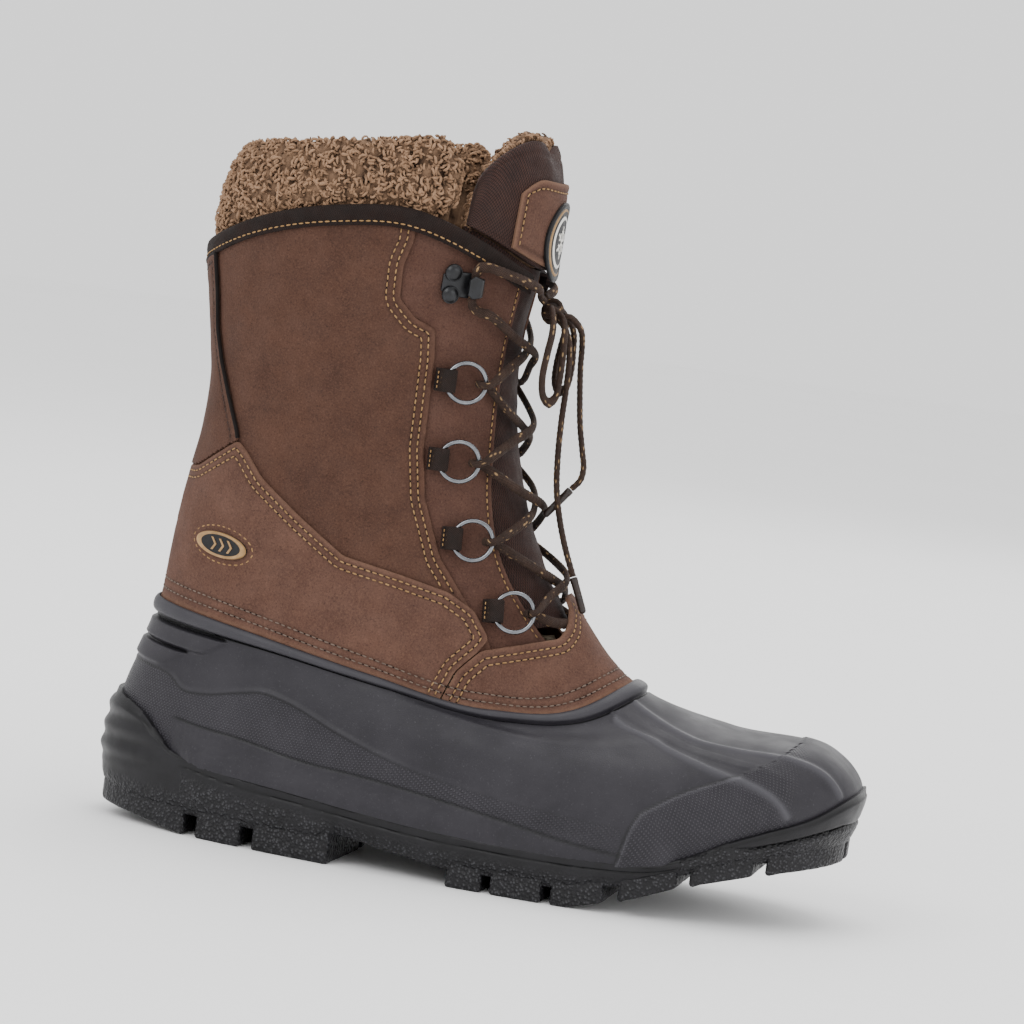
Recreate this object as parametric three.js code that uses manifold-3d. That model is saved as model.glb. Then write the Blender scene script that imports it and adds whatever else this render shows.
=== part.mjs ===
// Insulated lace-up hunting boot, right foot.
// +X points at the toe, +Z up, the outer (lateral) side is -Y. Millimetres.
// The origin is on the ground under the middle of the boot's bounding box.

import * as THREE from 'three';
import { mergeVertices } from 'three/addons/utils/BufferGeometryUtils.js';
import Module from 'manifold-3d';

const wasm = await Module();
wasm.setup();

// ---------------------------------------------------------------- driving dimensions

const BOOT_LENGTH = 310;          // outsole, heel to toe
const FOREFOOT_WIDTH = 112;       // outsole at the ball of the foot
const SHAFT_HEIGHT = 256;         // ground to the highest point of the collar binding
const GAP = 0.3;                  // play kept between touching pieces

const LEATHER = 1.6;              // thickness of one leather layer
const LINER_WALL = 5.1;           // insulating inner boot
const RUBBER_WALL = 3;            // galosh wall
const RUBBER_FLOOR = 3.5;
const OUTSOLE_RIM = 3;            // how far the outsole's cup stands out of the galosh
const LIP_HEIGHT = 6;             // rolled upper edge of the galosh
const LIP_BULGE = 2.4;
const SHANK_THICKNESS = 1.2;
const BOARD_THICKNESS = 2;
const LINER_FLOOR = 4;
const FOOTBED_THICKNESS = 4;
const TONGUE_THICKNESS = 2.6;
const BINDING_HEIGHT = 7;
const BINDING_THICKNESS = 1.2;

const RING_RADIUS = 7.8;          // lace ring, middle of the wire
const RING_WIRE = 1.8;            // wire diameter
const RING_TILT = 12;             // degrees, the ring's free side lifted by the lace
const RING_SWING = 20;            // degrees that a ring can swing out further
const WEBBING_WIDTH = 9;
const WEBBING_THICKNESS = 1;
const LACE_DIAMETER = 3;
const AGLET_LENGTH = 15;
const AGLET_DIAMETER = 3.2;
const HOOK_WIDTH = 10;
const HOOK_THICKNESS = 1.3;
const RIVET_DIAMETER = 7;
const BADGE_DIAMETER = 32;
const LABEL_LENGTH = 25;
const LABEL_HEIGHT = 12;

const LUG_CHANNEL = 5;            // open channel down the middle of the tread
const LUG_SLANT = 6;              // how far a lug's inner end lies ahead of its outer end

// ---------------------------------------------------------------- the last: the outer surface as rings

// Each ring: back and front end in x, half widths on the lateral and medial side, squareness of the
// superellipse, taper toward the heel, inward swing of the toe, and its height from heel (-1) to toe (1).
const RINGS = [
  { name: 'sole', back: -152, front: 150, lateral: 50, medial: 48, square: 2.6, taper: 0.16, swing: 6,
    height: [[-1, 31], [-0.5, 27], [0, 21], [0.6, 23], [1, 43]] },
  { name: 'low', back: -149, front: 152, lateral: 53, medial: 51, square: 2.6, taper: 0.15, swing: 6,
    height: [[-1, 51], [-0.5, 45], [0, 39], [0.6, 37], [1, 57]] },
  { name: 'mid', back: -144, front: 138, lateral: 51, medial: 49, square: 2.5, taper: 0.13, swing: 5,
    height: [[-1, 68], [-0.5, 61], [0, 54], [0.6, 52], [1, 70]] },
  { name: 'upper', back: -140, front: 100, lateral: 47, medial: 46, square: 2.3, taper: 0.06, swing: 3,
    height: [[-1, 81], [-0.5, 74], [0, 66], [0.6, 62], [1, 73]] },
  { name: 'mouth', back: -139, front: 57, lateral: 44, medial: 43, square: 2.2, taper: 0.02, swing: 0,
    height: [[-1, 91], [-0.5, 85], [0, 77], [0.5, 70], [0.85, 75], [1, 85]] },
  { name: 'heel', back: -136, front: 27, lateral: 42, medial: 41, square: 2.2, taper: 0, swing: 0,
    height: [[-1, 127], [0, 117], [0.6, 113], [1, 117]] },
  { name: 'ankle', back: -130, front: 6, lateral: 43, medial: 43, square: 2.2, taper: -0.02, swing: 0,
    height: [[-1, 177], [0, 167], [1, 163]] },
  { name: 'shin', back: -135, front: -1, lateral: 48, medial: 48, square: 2.2, taper: -0.04, swing: 0,
    height: [[-1, 215], [0, 210], [1, 209]] },
  { name: 'top', back: -138, front: 2, lateral: 52, medial: 52, square: 2.2, taper: -0.05, swing: 0,
    height: [[-1, 234], [-0.6, 247], [-0.1, 256], [0.3, 258], [0.7, 249], [1, 237]] },
  { name: 'collar', back: -132, front: 4, lateral: 48, medial: 48, square: 2.2, taper: -0.05, swing: 0,
    height: [[-1, 278], [0, 286], [1, 297]] },
];
const MOUTH = 4;                  // ring numbers used as levels
const TOP = 8;
const COLLAR = 9;

const DRAWN_LENGTH = 310;         // the rings above are drawn at these sizes and scaled to the wanted ones
const DRAWN_WIDTH = 112;
const DRAWN_HEIGHT = 256;
const alongX = (x) => x * BOOT_LENGTH / DRAWN_LENGTH;
const alongY = (y) => y * FOREFOOT_WIDTH / DRAWN_WIDTH;
const alongZ = (z) => z * SHAFT_HEIGHT / DRAWN_HEIGHT;

const COLUMNS = 44;               // points round the boot
const turn = (i, columns = COLUMNS) => 2 * Math.PI * i / columns;
const radians = THREE.MathUtils.degToRad;

/** Cubic curve through [t, value] knots, held at its ends. */
function curve(knots, t) {
  const last = knots.length - 1;
  if (t <= knots[0][0]) return knots[0][1];
  if (t >= knots[last][0]) return knots[last][1];
  const slope = (i) => {
    const step = (j) => (knots[j + 1][1] - knots[j][1]) / (knots[j + 1][0] - knots[j][0]);
    if (i === 0) return step(0);
    if (i === last) return step(last - 1);
    const before = knots[i][0] - knots[i - 1][0];
    const after = knots[i + 1][0] - knots[i][0];
    return (step(i - 1) * after + step(i) * before) / (before + after);
  };
  let i = 0;
  while (t > knots[i + 1][0]) i += 1;
  const h = knots[i + 1][0] - knots[i][0];
  const s = (t - knots[i][0]) / h;
  return (2 * s ** 3 - 3 * s ** 2 + 1) * knots[i][1] + (s ** 3 - 2 * s ** 2 + s) * h * slope(i)
    + (-2 * s ** 3 + 3 * s ** 2) * knots[i + 1][1] + (s ** 3 - s ** 2) * h * slope(i + 1);
}

/** Straight lines through [t, value] knots. */
function polyline(knots, t) {
  const i = Math.min(Math.max(knots.findIndex(([at]) => at > t), 1), knots.length - 1);
  const [[a, low], [b, high]] = [knots[i - 1], knots[i]];
  return THREE.MathUtils.mapLinear(THREE.MathUtils.clamp(t, a, b), a, b, low, high);
}

/** A point of one ring; angle 0 is the toe, positive angles the medial side. */
function ringPoint(ring, angle, inset = 0) {
  const power = 2 / ring.square;
  const round = (value) => Math.sign(value) * Math.abs(value) ** power;
  const c = round(Math.cos(angle));
  const s = round(Math.sin(angle));
  const halfWidth = Math.sin(angle) < 0 ? ring.lateral : ring.medial;
  const x = alongX((ring.back + ring.front) / 2) + (alongX((ring.front - ring.back) / 2) - inset) * c;
  const y = (alongY(halfWidth) - inset) * s * (1 + ring.taper * c) + alongY(ring.swing) * Math.max(c, 0) ** 2;
  return new THREE.Vector3(x, y, alongZ(curve(ring.height, c)));
}

/** The last's surface between the rings, level 0 at the sole and 9 at the collar's top. */
function surface(angle, level) {
  const top = RINGS.length - 1;
  const i = Math.min(Math.max(Math.floor(level), 0), top - 1);
  const s = level - i;
  const near = [i - 1, i, i + 1, i + 2];
  const points = near.map((k) => (k < 0 || k > top ? null : ringPoint(RINGS[k], angle)));
  const run = (k) => Math.sqrt(points[k].distanceTo(points[k + 1]));
  const slope = (k) => points[k + 1].clone().sub(points[k]).divideScalar(run(k));
  const tangent = (k) => {
    if (!points[k - 1]) return slope(k);
    if (!points[k + 1]) return slope(k - 1);
    const before = run(k - 1);
    const after = run(k);
    const weighted = slope(k - 1).multiplyScalar(after).add(slope(k).multiplyScalar(before));
    return weighted.divideScalar(before + after);
  };
  return points[1].clone().multiplyScalar(2 * s ** 3 - 3 * s ** 2 + 1)
    .addScaledVector(tangent(1), (s ** 3 - 2 * s ** 2 + s) * run(1))
    .addScaledVector(points[2], -2 * s ** 3 + 3 * s ** 2)
    .addScaledVector(tangent(2), (s ** 3 - s ** 2) * run(1));
}

/** Outward normal of the last. */
function normal(angle, level) {
  const step = 0.02;
  const low = Math.max(level - step, 0);
  const high = Math.min(level + step, COLLAR);
  const round = surface(angle + step, level).sub(surface(angle - step, level));
  const rise = surface(angle, high).sub(surface(angle, low));
  return round.cross(rise).normalize();
}

/** A point that lies `out` millimetres outside the last. */
const skin = (angle, level, out) => surface(angle, level).addScaledVector(normal(angle, level), out);

/** The level that lies a distance below (or, negative, above) another one, measured along the surface. */
function levelBelow(angle, level, distance) {
  const step = distance > 0 ? -0.02 : 0.02;
  let walked = 0;
  let at = level;
  let here = surface(angle, at);
  while (walked < Math.abs(distance) && at + step > 0 && at + step < COLLAR) {
    const next = surface(angle, at + step);
    walked += next.distanceTo(here);
    here = next;
    at += step;
  }
  return at;
}

/** Angle and level of the last's point that has a wanted x (or y, on the front) and z. */
function locate(axis, value, z, side) {
  let angle = 0;
  let level = 5;
  for (let pass = 0; pass < 12; pass += 1) {
    let low = 0;
    let high = COLLAR;
    for (let k = 0; k < 30; k += 1) {
      level = (low + high) / 2;
      if (surface(angle, level).z < z) low = level; else high = level;
    }
    low = 0;
    high = axis === 'x' ? Math.PI : Math.PI / 2;
    for (let k = 0; k < 30; k += 1) {
      const half = (low + high) / 2;
      angle = side * half;
      const found = surface(angle, level)[axis];
      const past = axis === 'x' ? found > value : found * side < value * side;
      if (past) low = half; else high = half;
    }
  }
  return { angle, level };
}

// ---------------------------------------------------------------- meshes

/** Closed geometry from points and triangles, with its faces turned outward. */
function closedGeometry(points, triangles) {
  let volume = 0;
  const cross = new THREE.Vector3();
  for (const [a, b, c] of triangles) volume += points[a].dot(cross.crossVectors(points[b], points[c]));
  const faces = volume < 0 ? triangles.map(([a, b, c]) => [a, c, b]) : triangles;
  const geometry = new THREE.BufferGeometry();
  const position = points.flatMap((p) => [p.x, p.y, p.z]);
  geometry.setAttribute('position', new THREE.Float32BufferAttribute(position, 3));
  geometry.setIndex(faces.flat());
  return geometry;
}

/** Joins neighbouring sections of equal length; `wrap` joins each section's end to its start. */
function bandFaces(rows, round, wrap) {
  const faces = [];
  const sections = rows.length;
  const points = rows[0].length;
  for (let i = 0; i < (round ? sections : sections - 1); i += 1) {
    const next = (i + 1) % sections;
    const a = i * points;
    const b = next * points;
    for (let j = 0; j < (wrap ? points : points - 1); j += 1) {
      const k = (j + 1) % points;
      const rising = rows[i][j].distanceTo(rows[next][k]);
      const falling = rows[next][j].distanceTo(rows[i][k]);
      if (rising < falling) faces.push([a + j, b + j, b + k], [a + j, b + k, a + k]);
      else faces.push([a + j, b + j, a + k], [b + j, b + k, a + k]);
    }
  }
  return faces;
}

/** A closed section carried right round the boot. */
function hoop(section, columns = COLUMNS) {
  const rows = Array.from({ length: columns }, (_, i) => section(turn(i, columns)));
  return closedGeometry(rows.flat(), bandFaces(rows, true, true));
}

/** A closed section carried between two angles, with its ends filled. */
function strip(section, from, to, columns) {
  const rows = Array.from({ length: columns + 1 }, (_, i) => section(from + (to - from) * i / columns));
  const points = rows[0].length;
  const faces = bandFaces(rows, false, true);
  const origin = rows[0][0];
  const along = rows[0][1].clone().sub(origin).normalize();
  const face = rows[1][0].clone().sub(origin).normalize();
  const across = new THREE.Vector3().crossVectors(face, along).normalize();
  const flat = rows[0].map((p) => {
    const d = p.clone().sub(origin);
    return new THREE.Vector2(d.dot(along), d.dot(across));
  });
  const last = columns * points;
  const clockwise = THREE.ShapeUtils.isClockWise(flat);
  const contour = clockwise ? flat.slice().reverse() : flat;
  const index = (k) => (clockwise ? points - 1 - k : k);
  for (const triangle of THREE.ShapeUtils.triangulateShape(contour, [])) {
    const [a, b, c] = clockwise ? triangle.map(index).reverse() : triangle;
    faces.push([a, b, c], [last + a, last + c, last + b]);
  }
  return closedGeometry(rows.flat(), faces);
}

/** An open section carried round, its two open rings closed by straight rungs across the boot. */
function cup(section, columns = COLUMNS) {
  const rows = Array.from({ length: columns }, (_, i) => section(turn(i, columns)));
  const points = rows[0].length;
  const faces = bandFaces(rows, true, false);
  const half = columns / 2;
  for (const end of [0, points - 1]) {
    for (let i = 0; i < half; i += 1) {
      const right = [i, i + 1].map((k) => k * points + end);
      const left = [(columns - i) % columns, columns - i - 1].map((k) => k * points + end);
      const quads = [];
      if (i === 0) quads.push([right[0], right[1], left[1]]);
      else if (i === half - 1) quads.push([right[0], right[1], left[0]]);
      else quads.push([right[0], right[1], left[1]], [right[0], left[1], left[0]]);
      for (const [a, b, c] of quads) faces.push(end === 0 ? [a, c, b] : [a, b, c]);
    }
  }
  return closedGeometry(rows.flat(), faces);
}

/** A slab between two grids of points: place(u, v, side), u and v from 0 to 1, side 0 is the inner face. */
function slab(place, across, up) {
  const points = [];
  const at = (i, j, side) => (side * (across + 1) + i) * (up + 1) + j;
  for (const side of [0, 1]) {
    for (let i = 0; i <= across; i += 1) {
      for (let j = 0; j <= up; j += 1) points.push(place(i / across, j / up, side));
    }
  }
  const faces = [];
  const quad = (a, b, c, d) => faces.push([a, b, c], [a, c, d]);
  for (let i = 0; i < across; i += 1) {
    for (let j = 0; j < up; j += 1) {
      quad(at(i, j, 1), at(i + 1, j, 1), at(i + 1, j + 1, 1), at(i, j + 1, 1));
      quad(at(i, j, 0), at(i, j + 1, 0), at(i + 1, j + 1, 0), at(i + 1, j, 0));
    }
    quad(at(i, 0, 0), at(i + 1, 0, 0), at(i + 1, 0, 1), at(i, 0, 1));
    quad(at(i, up, 1), at(i + 1, up, 1), at(i + 1, up, 0), at(i, up, 0));
  }
  for (let j = 0; j < up; j += 1) {
    quad(at(0, j, 1), at(0, j + 1, 1), at(0, j + 1, 0), at(0, j, 0));
    quad(at(across, j, 0), at(across, j + 1, 0), at(across, j + 1, 1), at(across, j, 1));
  }
  return closedGeometry(points, faces);
}

/** A disc or oval that follows the surface: place(a, b, side) takes millimetres from its centre. */
function curvedDisc(place, halfLength, halfHeight, spokes = 16, rings = 2) {
  const points = [];
  const faces = [];
  const at = (side, ring, spoke) => side * (1 + rings * spokes) + 1 + (ring - 1) * spokes + (spoke % spokes);
  const centre = (side) => side * (1 + rings * spokes);
  for (const side of [0, 1]) {
    points.push(place(0, 0, side));
    for (let r = 1; r <= rings; r += 1) {
      for (let k = 0; k < spokes; k += 1) {
        const angle = turn(k, spokes);
        const share = r / rings;
        points.push(place(halfLength * share * Math.cos(angle), halfHeight * share * Math.sin(angle), side));
      }
    }
  }
  const face = (side, a, b, c) => faces.push(side === 1 ? [a, b, c] : [a, c, b]);
  for (const side of [0, 1]) {
    for (let k = 0; k < spokes; k += 1) {
      face(side, centre(side), at(side, 1, k), at(side, 1, k + 1));
      for (let r = 1; r < rings; r += 1) {
        face(side, at(side, r, k), at(side, r + 1, k), at(side, r + 1, k + 1));
        face(side, at(side, r, k), at(side, r + 1, k + 1), at(side, r, k + 1));
      }
    }
  }
  for (let k = 0; k < spokes; k += 1) {
    faces.push([at(1, rings, k), at(0, rings, k), at(0, rings, k + 1)]);
    faces.push([at(1, rings, k), at(0, rings, k + 1), at(1, rings, k + 1)]);
  }
  return closedGeometry(points, faces);
}

function toSolid(geometry) {
  const bare = geometry.clone();
  bare.deleteAttribute('normal');
  bare.deleteAttribute('uv');
  const merged = mergeVertices(bare, 1e-4);
  const mesh = new wasm.Mesh({
    numProp: 3,
    vertProperties: new Float32Array(merged.attributes.position.array),
    triVerts: new Uint32Array(merged.index.array),
  });
  return new wasm.Manifold(mesh);
}

function toGeometry(solid) {
  const mesh = solid.getMesh();
  const geometry = new THREE.BufferGeometry();
  geometry.setAttribute('position', new THREE.Float32BufferAttribute(mesh.vertProperties, 3));
  geometry.setIndex(Array.from(mesh.triVerts));
  return geometry;
}

const BOTH_SIDES = 0;
const LATERAL = -1;
const MEDIAL = 1;
const REACH = 90;                 // longer than any half width

/** A prism along Y whose outline is drawn in side view, on one side of the boot or right across it. */
function sidePrism(outline, side = BOTH_SIDES) {
  const shape = new THREE.Shape(outline.map(([x, z]) => new THREE.Vector2(alongX(x), alongZ(z))));
  const depth = side === BOTH_SIDES ? 2 * REACH : REACH;
  const geometry = new THREE.ExtrudeGeometry(shape, { depth, bevelEnabled: false });
  geometry.rotateX(Math.PI / 2);
  if (side === BOTH_SIDES) geometry.translate(0, REACH, 0);
  if (side === MEDIAL) geometry.translate(0, REACH + GAP / 2, 0);
  if (side === LATERAL) geometry.translate(0, -GAP / 2, 0);
  return toSolid(geometry);
}

// ---------------------------------------------------------------- layers of the upper

const OVERLAY = 0;                                  // outer faces, measured from the last
const QUARTER = OVERLAY - LEATHER - GAP;
const EYESTAY = QUARTER - LEATHER - GAP;
const INNER = EYESTAY - LEATHER - GAP - 0.2;        // outside of the liner and tongue
const LINER_INSIDE = INNER - LINER_WALL;
const TUCK = LIP_HEIGHT - 1;                        // how deep the leather stands in the galosh's lip

/** Leather all round the boot, one layer thick, from inside the lip to the shaft's top. */
function leatherWall(outside) {
  const rows = [0, 0.6, 1.2, 2, 2.7, 3.4, 4];
  return toSolid(hoop((angle) => {
    const levels = [levelBelow(angle, MOUTH, TUCK), ...rows.map((row) => MOUTH + row)];
    const outer = levels.map((level) => skin(angle, level, outside));
    const inner = levels.map((level) => skin(angle, level, outside - LEATHER));
    return [...outer, ...inner.reverse()];
  }));
}

const quarterEdge = [[-45, 275], [-45, 247], [-48, 237], [-48, 224], [-41, 217], [-33, 214], [-32, 202],
  [-32, 167], [-29, 148], [-20, 126], [3, 97], [9, 84], [10, 50]];
// half opening of the throat between the eyestays, in degrees, by level
const throatHalf = [[4.3, 14], [4.6, 29], [4.9, 35], [5.3, 39], [5.75, 37], [6.1, 32], [6.5, 27], [7, 22],
  [8.3, 21]];
const vampEdge = [[-11, 50], [-11, 72], [-7, 83], [1, 92], [15, 96], [29, 100], [31, 105], [30, 111],
  [27, 116], [30, 117], [60, 117]];
const counterEdge = [[-160, 143], [-127, 146], [-109, 159], [-104, 155], [-96, 146], [-77, 133],
  [-58, 121], [-34, 117], [-15, 113], [-4, 107], [3, 97]];
// the backstay's top ends a set distance under the binding
const underBinding = (z) => z - BINDING_HEIGHT / alongZ(1);
const backstayEdge = [[-170, underBinding(230)], [-138, underBinding(232)], [-130, underBinding(236)],
  [-122, underBinding(239)], [-118, 214], [-115, 194], [-111, 174]];

const layers = {
  quarter: leatherWall(QUARTER),
  eyestay: leatherWall(EYESTAY),
  overlay: leatherWall(OVERLAY),
};

/** A panel is the part of a leather layer inside a side-view outline. */
function panel(layer, outline, side = BOTH_SIDES) {
  return toGeometry(layers[layer].intersect(sidePrism(outline, side)));
}

const quarter = (side) => panel('quarter', [[-170, 275], ...quarterEdge, [-170, 50]], side);

function throat() {
  const low = throatHalf[0][0];
  const high = throatHalf[throatHalf.length - 1][0];
  return toSolid(slab((u, v, side) => {
    const level = low + (high - low) * v;
    return skin((u * 2 - 1) * radians(curve(throatHalf, level)), level, side ? 5 : -12);
  }, 10, 14));
}

function eyestay(side) {
  const underlap = 9;
  const rear = quarterEdge.map(([x, z]) => [x - underlap, z]).reverse();
  const outline = [...rear, [60, 275], [60, 60]];
  return toGeometry(layers.eyestay.intersect(sidePrism(outline, side)).subtract(throat()));
}

const vamp = () => panel('overlay', [...vampEdge, [90, 117], [90, 50]]);

function counter() {
  const gap = 0.6;
  const front = vampEdge.slice(0, 4).map(([x, z]) => [x - gap, z]).reverse();
  return panel('overlay', [...counterEdge, ...front, [-160, 50]]);
}

function backstay() {
  const gap = 0.6;
  const foot = counterEdge.slice(0, 3).map(([x, z]) => [x, z + gap]).reverse();
  return panel('overlay', [...backstayEdge, ...foot]);
}

/** Folded tape over the shaft's top edge, open at the throat. */
function binding() {
  const outside = QUARTER + GAP + BINDING_THICKNESS;
  const inside = EYESTAY - LEATHER;
  const section = (angle) => {
    const level = (rise) => levelBelow(angle, TOP, -rise);
    const point = (out, rise) => skin(angle, level(rise), out);
    const cap = GAP + BINDING_THICKNESS;
    return [
      point(outside, -BINDING_HEIGHT),
      point(outside, -BINDING_HEIGHT / 2),
      point(outside, cap),
      point(inside, cap),
      point(inside, GAP),
      point(QUARTER + GAP, GAP),
      point(QUARTER + GAP, -BINDING_HEIGHT / 2),
      point(QUARTER + GAP, -BINDING_HEIGHT),
    ];
  };
  const end = radians(19);
  return strip(section, end, 2 * Math.PI - end, 44);
}

// ---------------------------------------------------------------- galosh, outsole and what lies on the floor

const SOLE = RINGS[0];

/** Height of the galosh's underside at a place along the foot. */
function undersideAt(x) {
  const middle = alongX((SOLE.back + SOLE.front) / 2);
  return alongZ(curve(SOLE.height, (x - middle) / alongX((SOLE.front - SOLE.back) / 2)));
}

/** A point of a footprint inset from the sole's edge and raised above the galosh's underside. */
function footprint(angle, inset, rise) {
  const point = ringPoint(SOLE, angle, inset);
  point.z = undersideAt(point.x) + rise;
  return point;
}

// level where the outsole's cup ends, for places along the foot from heel (-1) to toe (1)
const cupRim = [[-1, 1.4], [-0.93, 1.2], [-0.86, 0.4], [-0.7, 0.15], [0, 0.15], [0.4, 0.25], [0.7, 0.5],
  [0.88, 0.85], [1, 0.98]];
const rimAt = (angle) => polyline(cupRim, ringPoint(SOLE, angle).x / alongX(SOLE.front));

function galosh() {
  return cup((angle) => {
    const below = (distance) => levelBelow(angle, MOUTH, distance);
    const waist = below(LIP_HEIGHT + 4);
    const rim = rimAt(angle);
    const above = [0.25, 0.5, 0.75, 1].map((f) => rim + (waist - rim) * f);
    const outside = [0, rim / 2, rim, ...above].map((level) => skin(angle, level, 0));
    const inside = [0, 0.2, 0.4, 0.6, 0.8, 0.92].map((f) => skin(angle, waist * (1 - f), -RUBBER_WALL));
    return [
      footprint(angle, 4, 0),
      ...outside,
      skin(angle, below(LIP_HEIGHT), LIP_BULGE * 0.7),
      skin(angle, below(LIP_HEIGHT * 0.5), LIP_BULGE),
      skin(angle, below(0.8), LIP_BULGE * 0.8),
      skin(angle, MOUTH, GAP + 0.7),
      skin(angle, below(0.5), GAP),
      skin(angle, below(TUCK), GAP),
      skin(angle, below(TUCK + 1), GAP),
      ...inside,
      footprint(angle, 6, RUBBER_FLOOR),
    ];
  });
}

const groundLine = [[-155, 6], [-130, 3.5], [-108, 0], [50, 0], [75, 7], [92, 14], [120, 22], [155, 29]];
const treadBase = [[-155, 13], [-130, 9], [-52, 8], [-46, 13], [0, 7], [50, 7], [75, 13], [92, 19],
  [120, 27], [155, 35]];
// lugs along the tread: where each starts and ends in x
const LUGS = [[-156, -113], [-107, -88], [-82, -50], [-1, 13], [17, 37], [41, 61], [67, 88], [93, 115],
  [120, 156]];

/** Footprint whose height follows a side-view line. */
function treadPoint(angle, inset, line, rise = 0) {
  const point = ringPoint(SOLE, angle, inset);
  point.z = alongZ(polyline(line, point.x / alongX(1))) + rise;
  return point;
}

function lugOutline([start, end], side) {
  const inner = LUG_CHANNEL / 2;
  const slant = Math.min(LUG_SLANT, (end - start) / 2);
  return new THREE.Shape([
    new THREE.Vector2(alongX(start), side * REACH),
    new THREE.Vector2(alongX(end), side * REACH),
    new THREE.Vector2(alongX(end + slant), side * inner),
    new THREE.Vector2(alongX(start + slant), side * inner),
  ]);
}

function outsole() {
  const body = toSolid(cup((angle) => {
    const rim = rimAt(angle);
    const floor = skin(angle, 0, GAP);
    floor.z -= GAP;
    return [
      treadPoint(angle, 1, treadBase),
      treadPoint(angle, 1 - OUTSOLE_RIM, treadBase, 4),
      skin(angle, 0, OUTSOLE_RIM),
      skin(angle, rim / 2, OUTSOLE_RIM),
      skin(angle, rim, OUTSOLE_RIM * 0.85),
      skin(angle, rim, GAP),
      skin(angle, rim / 2, GAP),
      floor,
      footprint(angle, 4, -GAP),
    ];
  }));
  const tread = toSolid(cup((angle) => [
    treadPoint(angle, -0.5, groundLine),
    treadPoint(angle, -0.5, treadBase, 1),
  ]));
  const shapes = LUGS.flatMap((lug) => [lugOutline(lug, LATERAL), lugOutline(lug, MEDIAL)]);
  const extrude = (shape) => new THREE.ExtrudeGeometry(shape, { depth: 60, bevelEnabled: false });
  const blocks = shapes.map((shape) => toSolid(extrude(shape)));
  const lugs = blocks.map((block) => block.translate([0, 0, -5]).intersect(tread));
  return toGeometry(lugs.reduce((sum, lug) => sum.add(lug), body));
}

/** A plate that fills the footprint between two heights above the galosh's underside. */
function plate(inset, low, high) {
  return cup((angle) => [footprint(angle, inset, low), footprint(angle, inset, high)]);
}

const boardLow = RUBBER_FLOOR + SHANK_THICKNESS + 2 * GAP;
const linerLow = boardLow + BOARD_THICKNESS + GAP;
const bedLow = linerLow + LINER_FLOOR + GAP;

function shank() {
  const length = 95;
  const halfWidth = 9;
  const middle = -35;
  return slab((u, v, side) => {
    const x = alongX(middle) + (u - 0.5) * length;
    const floor = undersideAt(x) + RUBBER_FLOOR + GAP;
    return new THREE.Vector3(x, (v - 0.5) * 2 * halfWidth, floor + side * (SHANK_THICKNESS - 0.1));
  }, 14, 1);
}

const throatCut = [[-34, 290], [-34, 200], [-31, 162], [-24, 132], [-2, 109], [10, 97], [90, 97], [90, 290]];

function liner() {
  const shaft = [4.6, 5.3, 6, 6.7, 7.35];
  const slack = 0.8;
  const sock = cup((angle) => {
    const foot = [levelBelow(angle, MOUTH, TUCK + 2), levelBelow(angle, MOUTH, 2)];
    const wall = (low, out) => [low, 1.2, 2.2, ...foot].map((level) => skin(angle, level, out));
    return [
      footprint(angle, 12, linerLow),
      ...wall(0.6, INNER - 2.5 * slack),
      ...shaft.map((level) => skin(angle, level, INNER)),
      ...shaft.map((level) => skin(angle, level, LINER_INSIDE)).reverse(),
      ...wall(0.8, LINER_INSIDE - slack).reverse(),
      footprint(angle, 17, linerLow + LINER_FLOOR),
    ];
  });
  return toGeometry(toSolid(sock).subtract(sidePrism(throatCut)));
}

function fleeceCollar() {
  const section = (angle) => {
    const cap = levelBelow(angle, TOP, -(BINDING_THICKNESS + 2 * GAP + 0.6));
    const lift = (f) => cap + (COLLAR - cap) * f;
    return [
      skin(angle, 7.42, INNER),
      skin(angle, 7.8, INNER),
      skin(angle, cap, INNER),
      skin(angle, lift(0.12), -3.6),
      skin(angle, lift(0.5), -2.6),
      skin(angle, lift(0.85), -4.2),
      skin(angle, lift(0.97), -8),
      skin(angle, lift(0.9), -13),
      skin(angle, lift(0.5), -15.5),
      skin(angle, cap, -14),
      skin(angle, 7.8, LINER_INSIDE - 1.5),
      skin(angle, 7.42, LINER_INSIDE),
    ];
  };
  const end = radians(62);
  return strip(section, end, 2 * Math.PI - end, 32);
}

// ---------------------------------------------------------------- tongue

const TONGUE_PIVOT = 8.1;         // level of the fold above the binding
const TONGUE_FOOT = 4.75;         // level where the tongue is sewn in under the vamp

function tongueLower() {
  return slab((u, v, side) => {
    const level = TONGUE_FOOT + (TONGUE_PIVOT - 0.012 - TONGUE_FOOT) * v;
    const half = radians(42 + 13 * v);
    return skin((u * 2 - 1) * half, level, INNER - TONGUE_THICKNESS * (1 - side));
  }, 12, 10);
}

/** Upper edge of the tongue, dropping at its rounded corners. */
const tongueCrown = (u, drop) => COLLAR - drop - 0.42 * Math.max(0, Math.abs(u * 2 - 1) - 0.8) / 0.2;

function tongueTop() {
  return slab((u, v, side) => {
    const level = TONGUE_PIVOT + (tongueCrown(u, 0.06) - TONGUE_PIVOT) * v;
    return skin((u * 2 - 1) * radians(55), level, side ? -1.6 : -1.6 - TONGUE_THICKNESS - 1.8);
  }, 14, 6);
}

function tongueFleece() {
  return slab((u, v, side) => {
    const level = TONGUE_PIVOT + (tongueCrown(u, 0.01) - TONGUE_PIVOT) * v;
    return skin((u * 2 - 1) * radians(52), level, side ? -6.4 : -13.5);
  }, 12, 5);
}

function tonguePatch() {
  return slab((u, v, side) => {
    const corner = Math.max(0, Math.abs(u * 2 - 1) - 0.6) / 0.4;
    const level = 8.14 + (8.62 - 0.12 * corner ** 2 - 8.14) * v;
    return skin((u * 2 - 1) * radians(37), level, side ? -0.1 : -1.6 + GAP);
  }, 10, 4);
}

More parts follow.
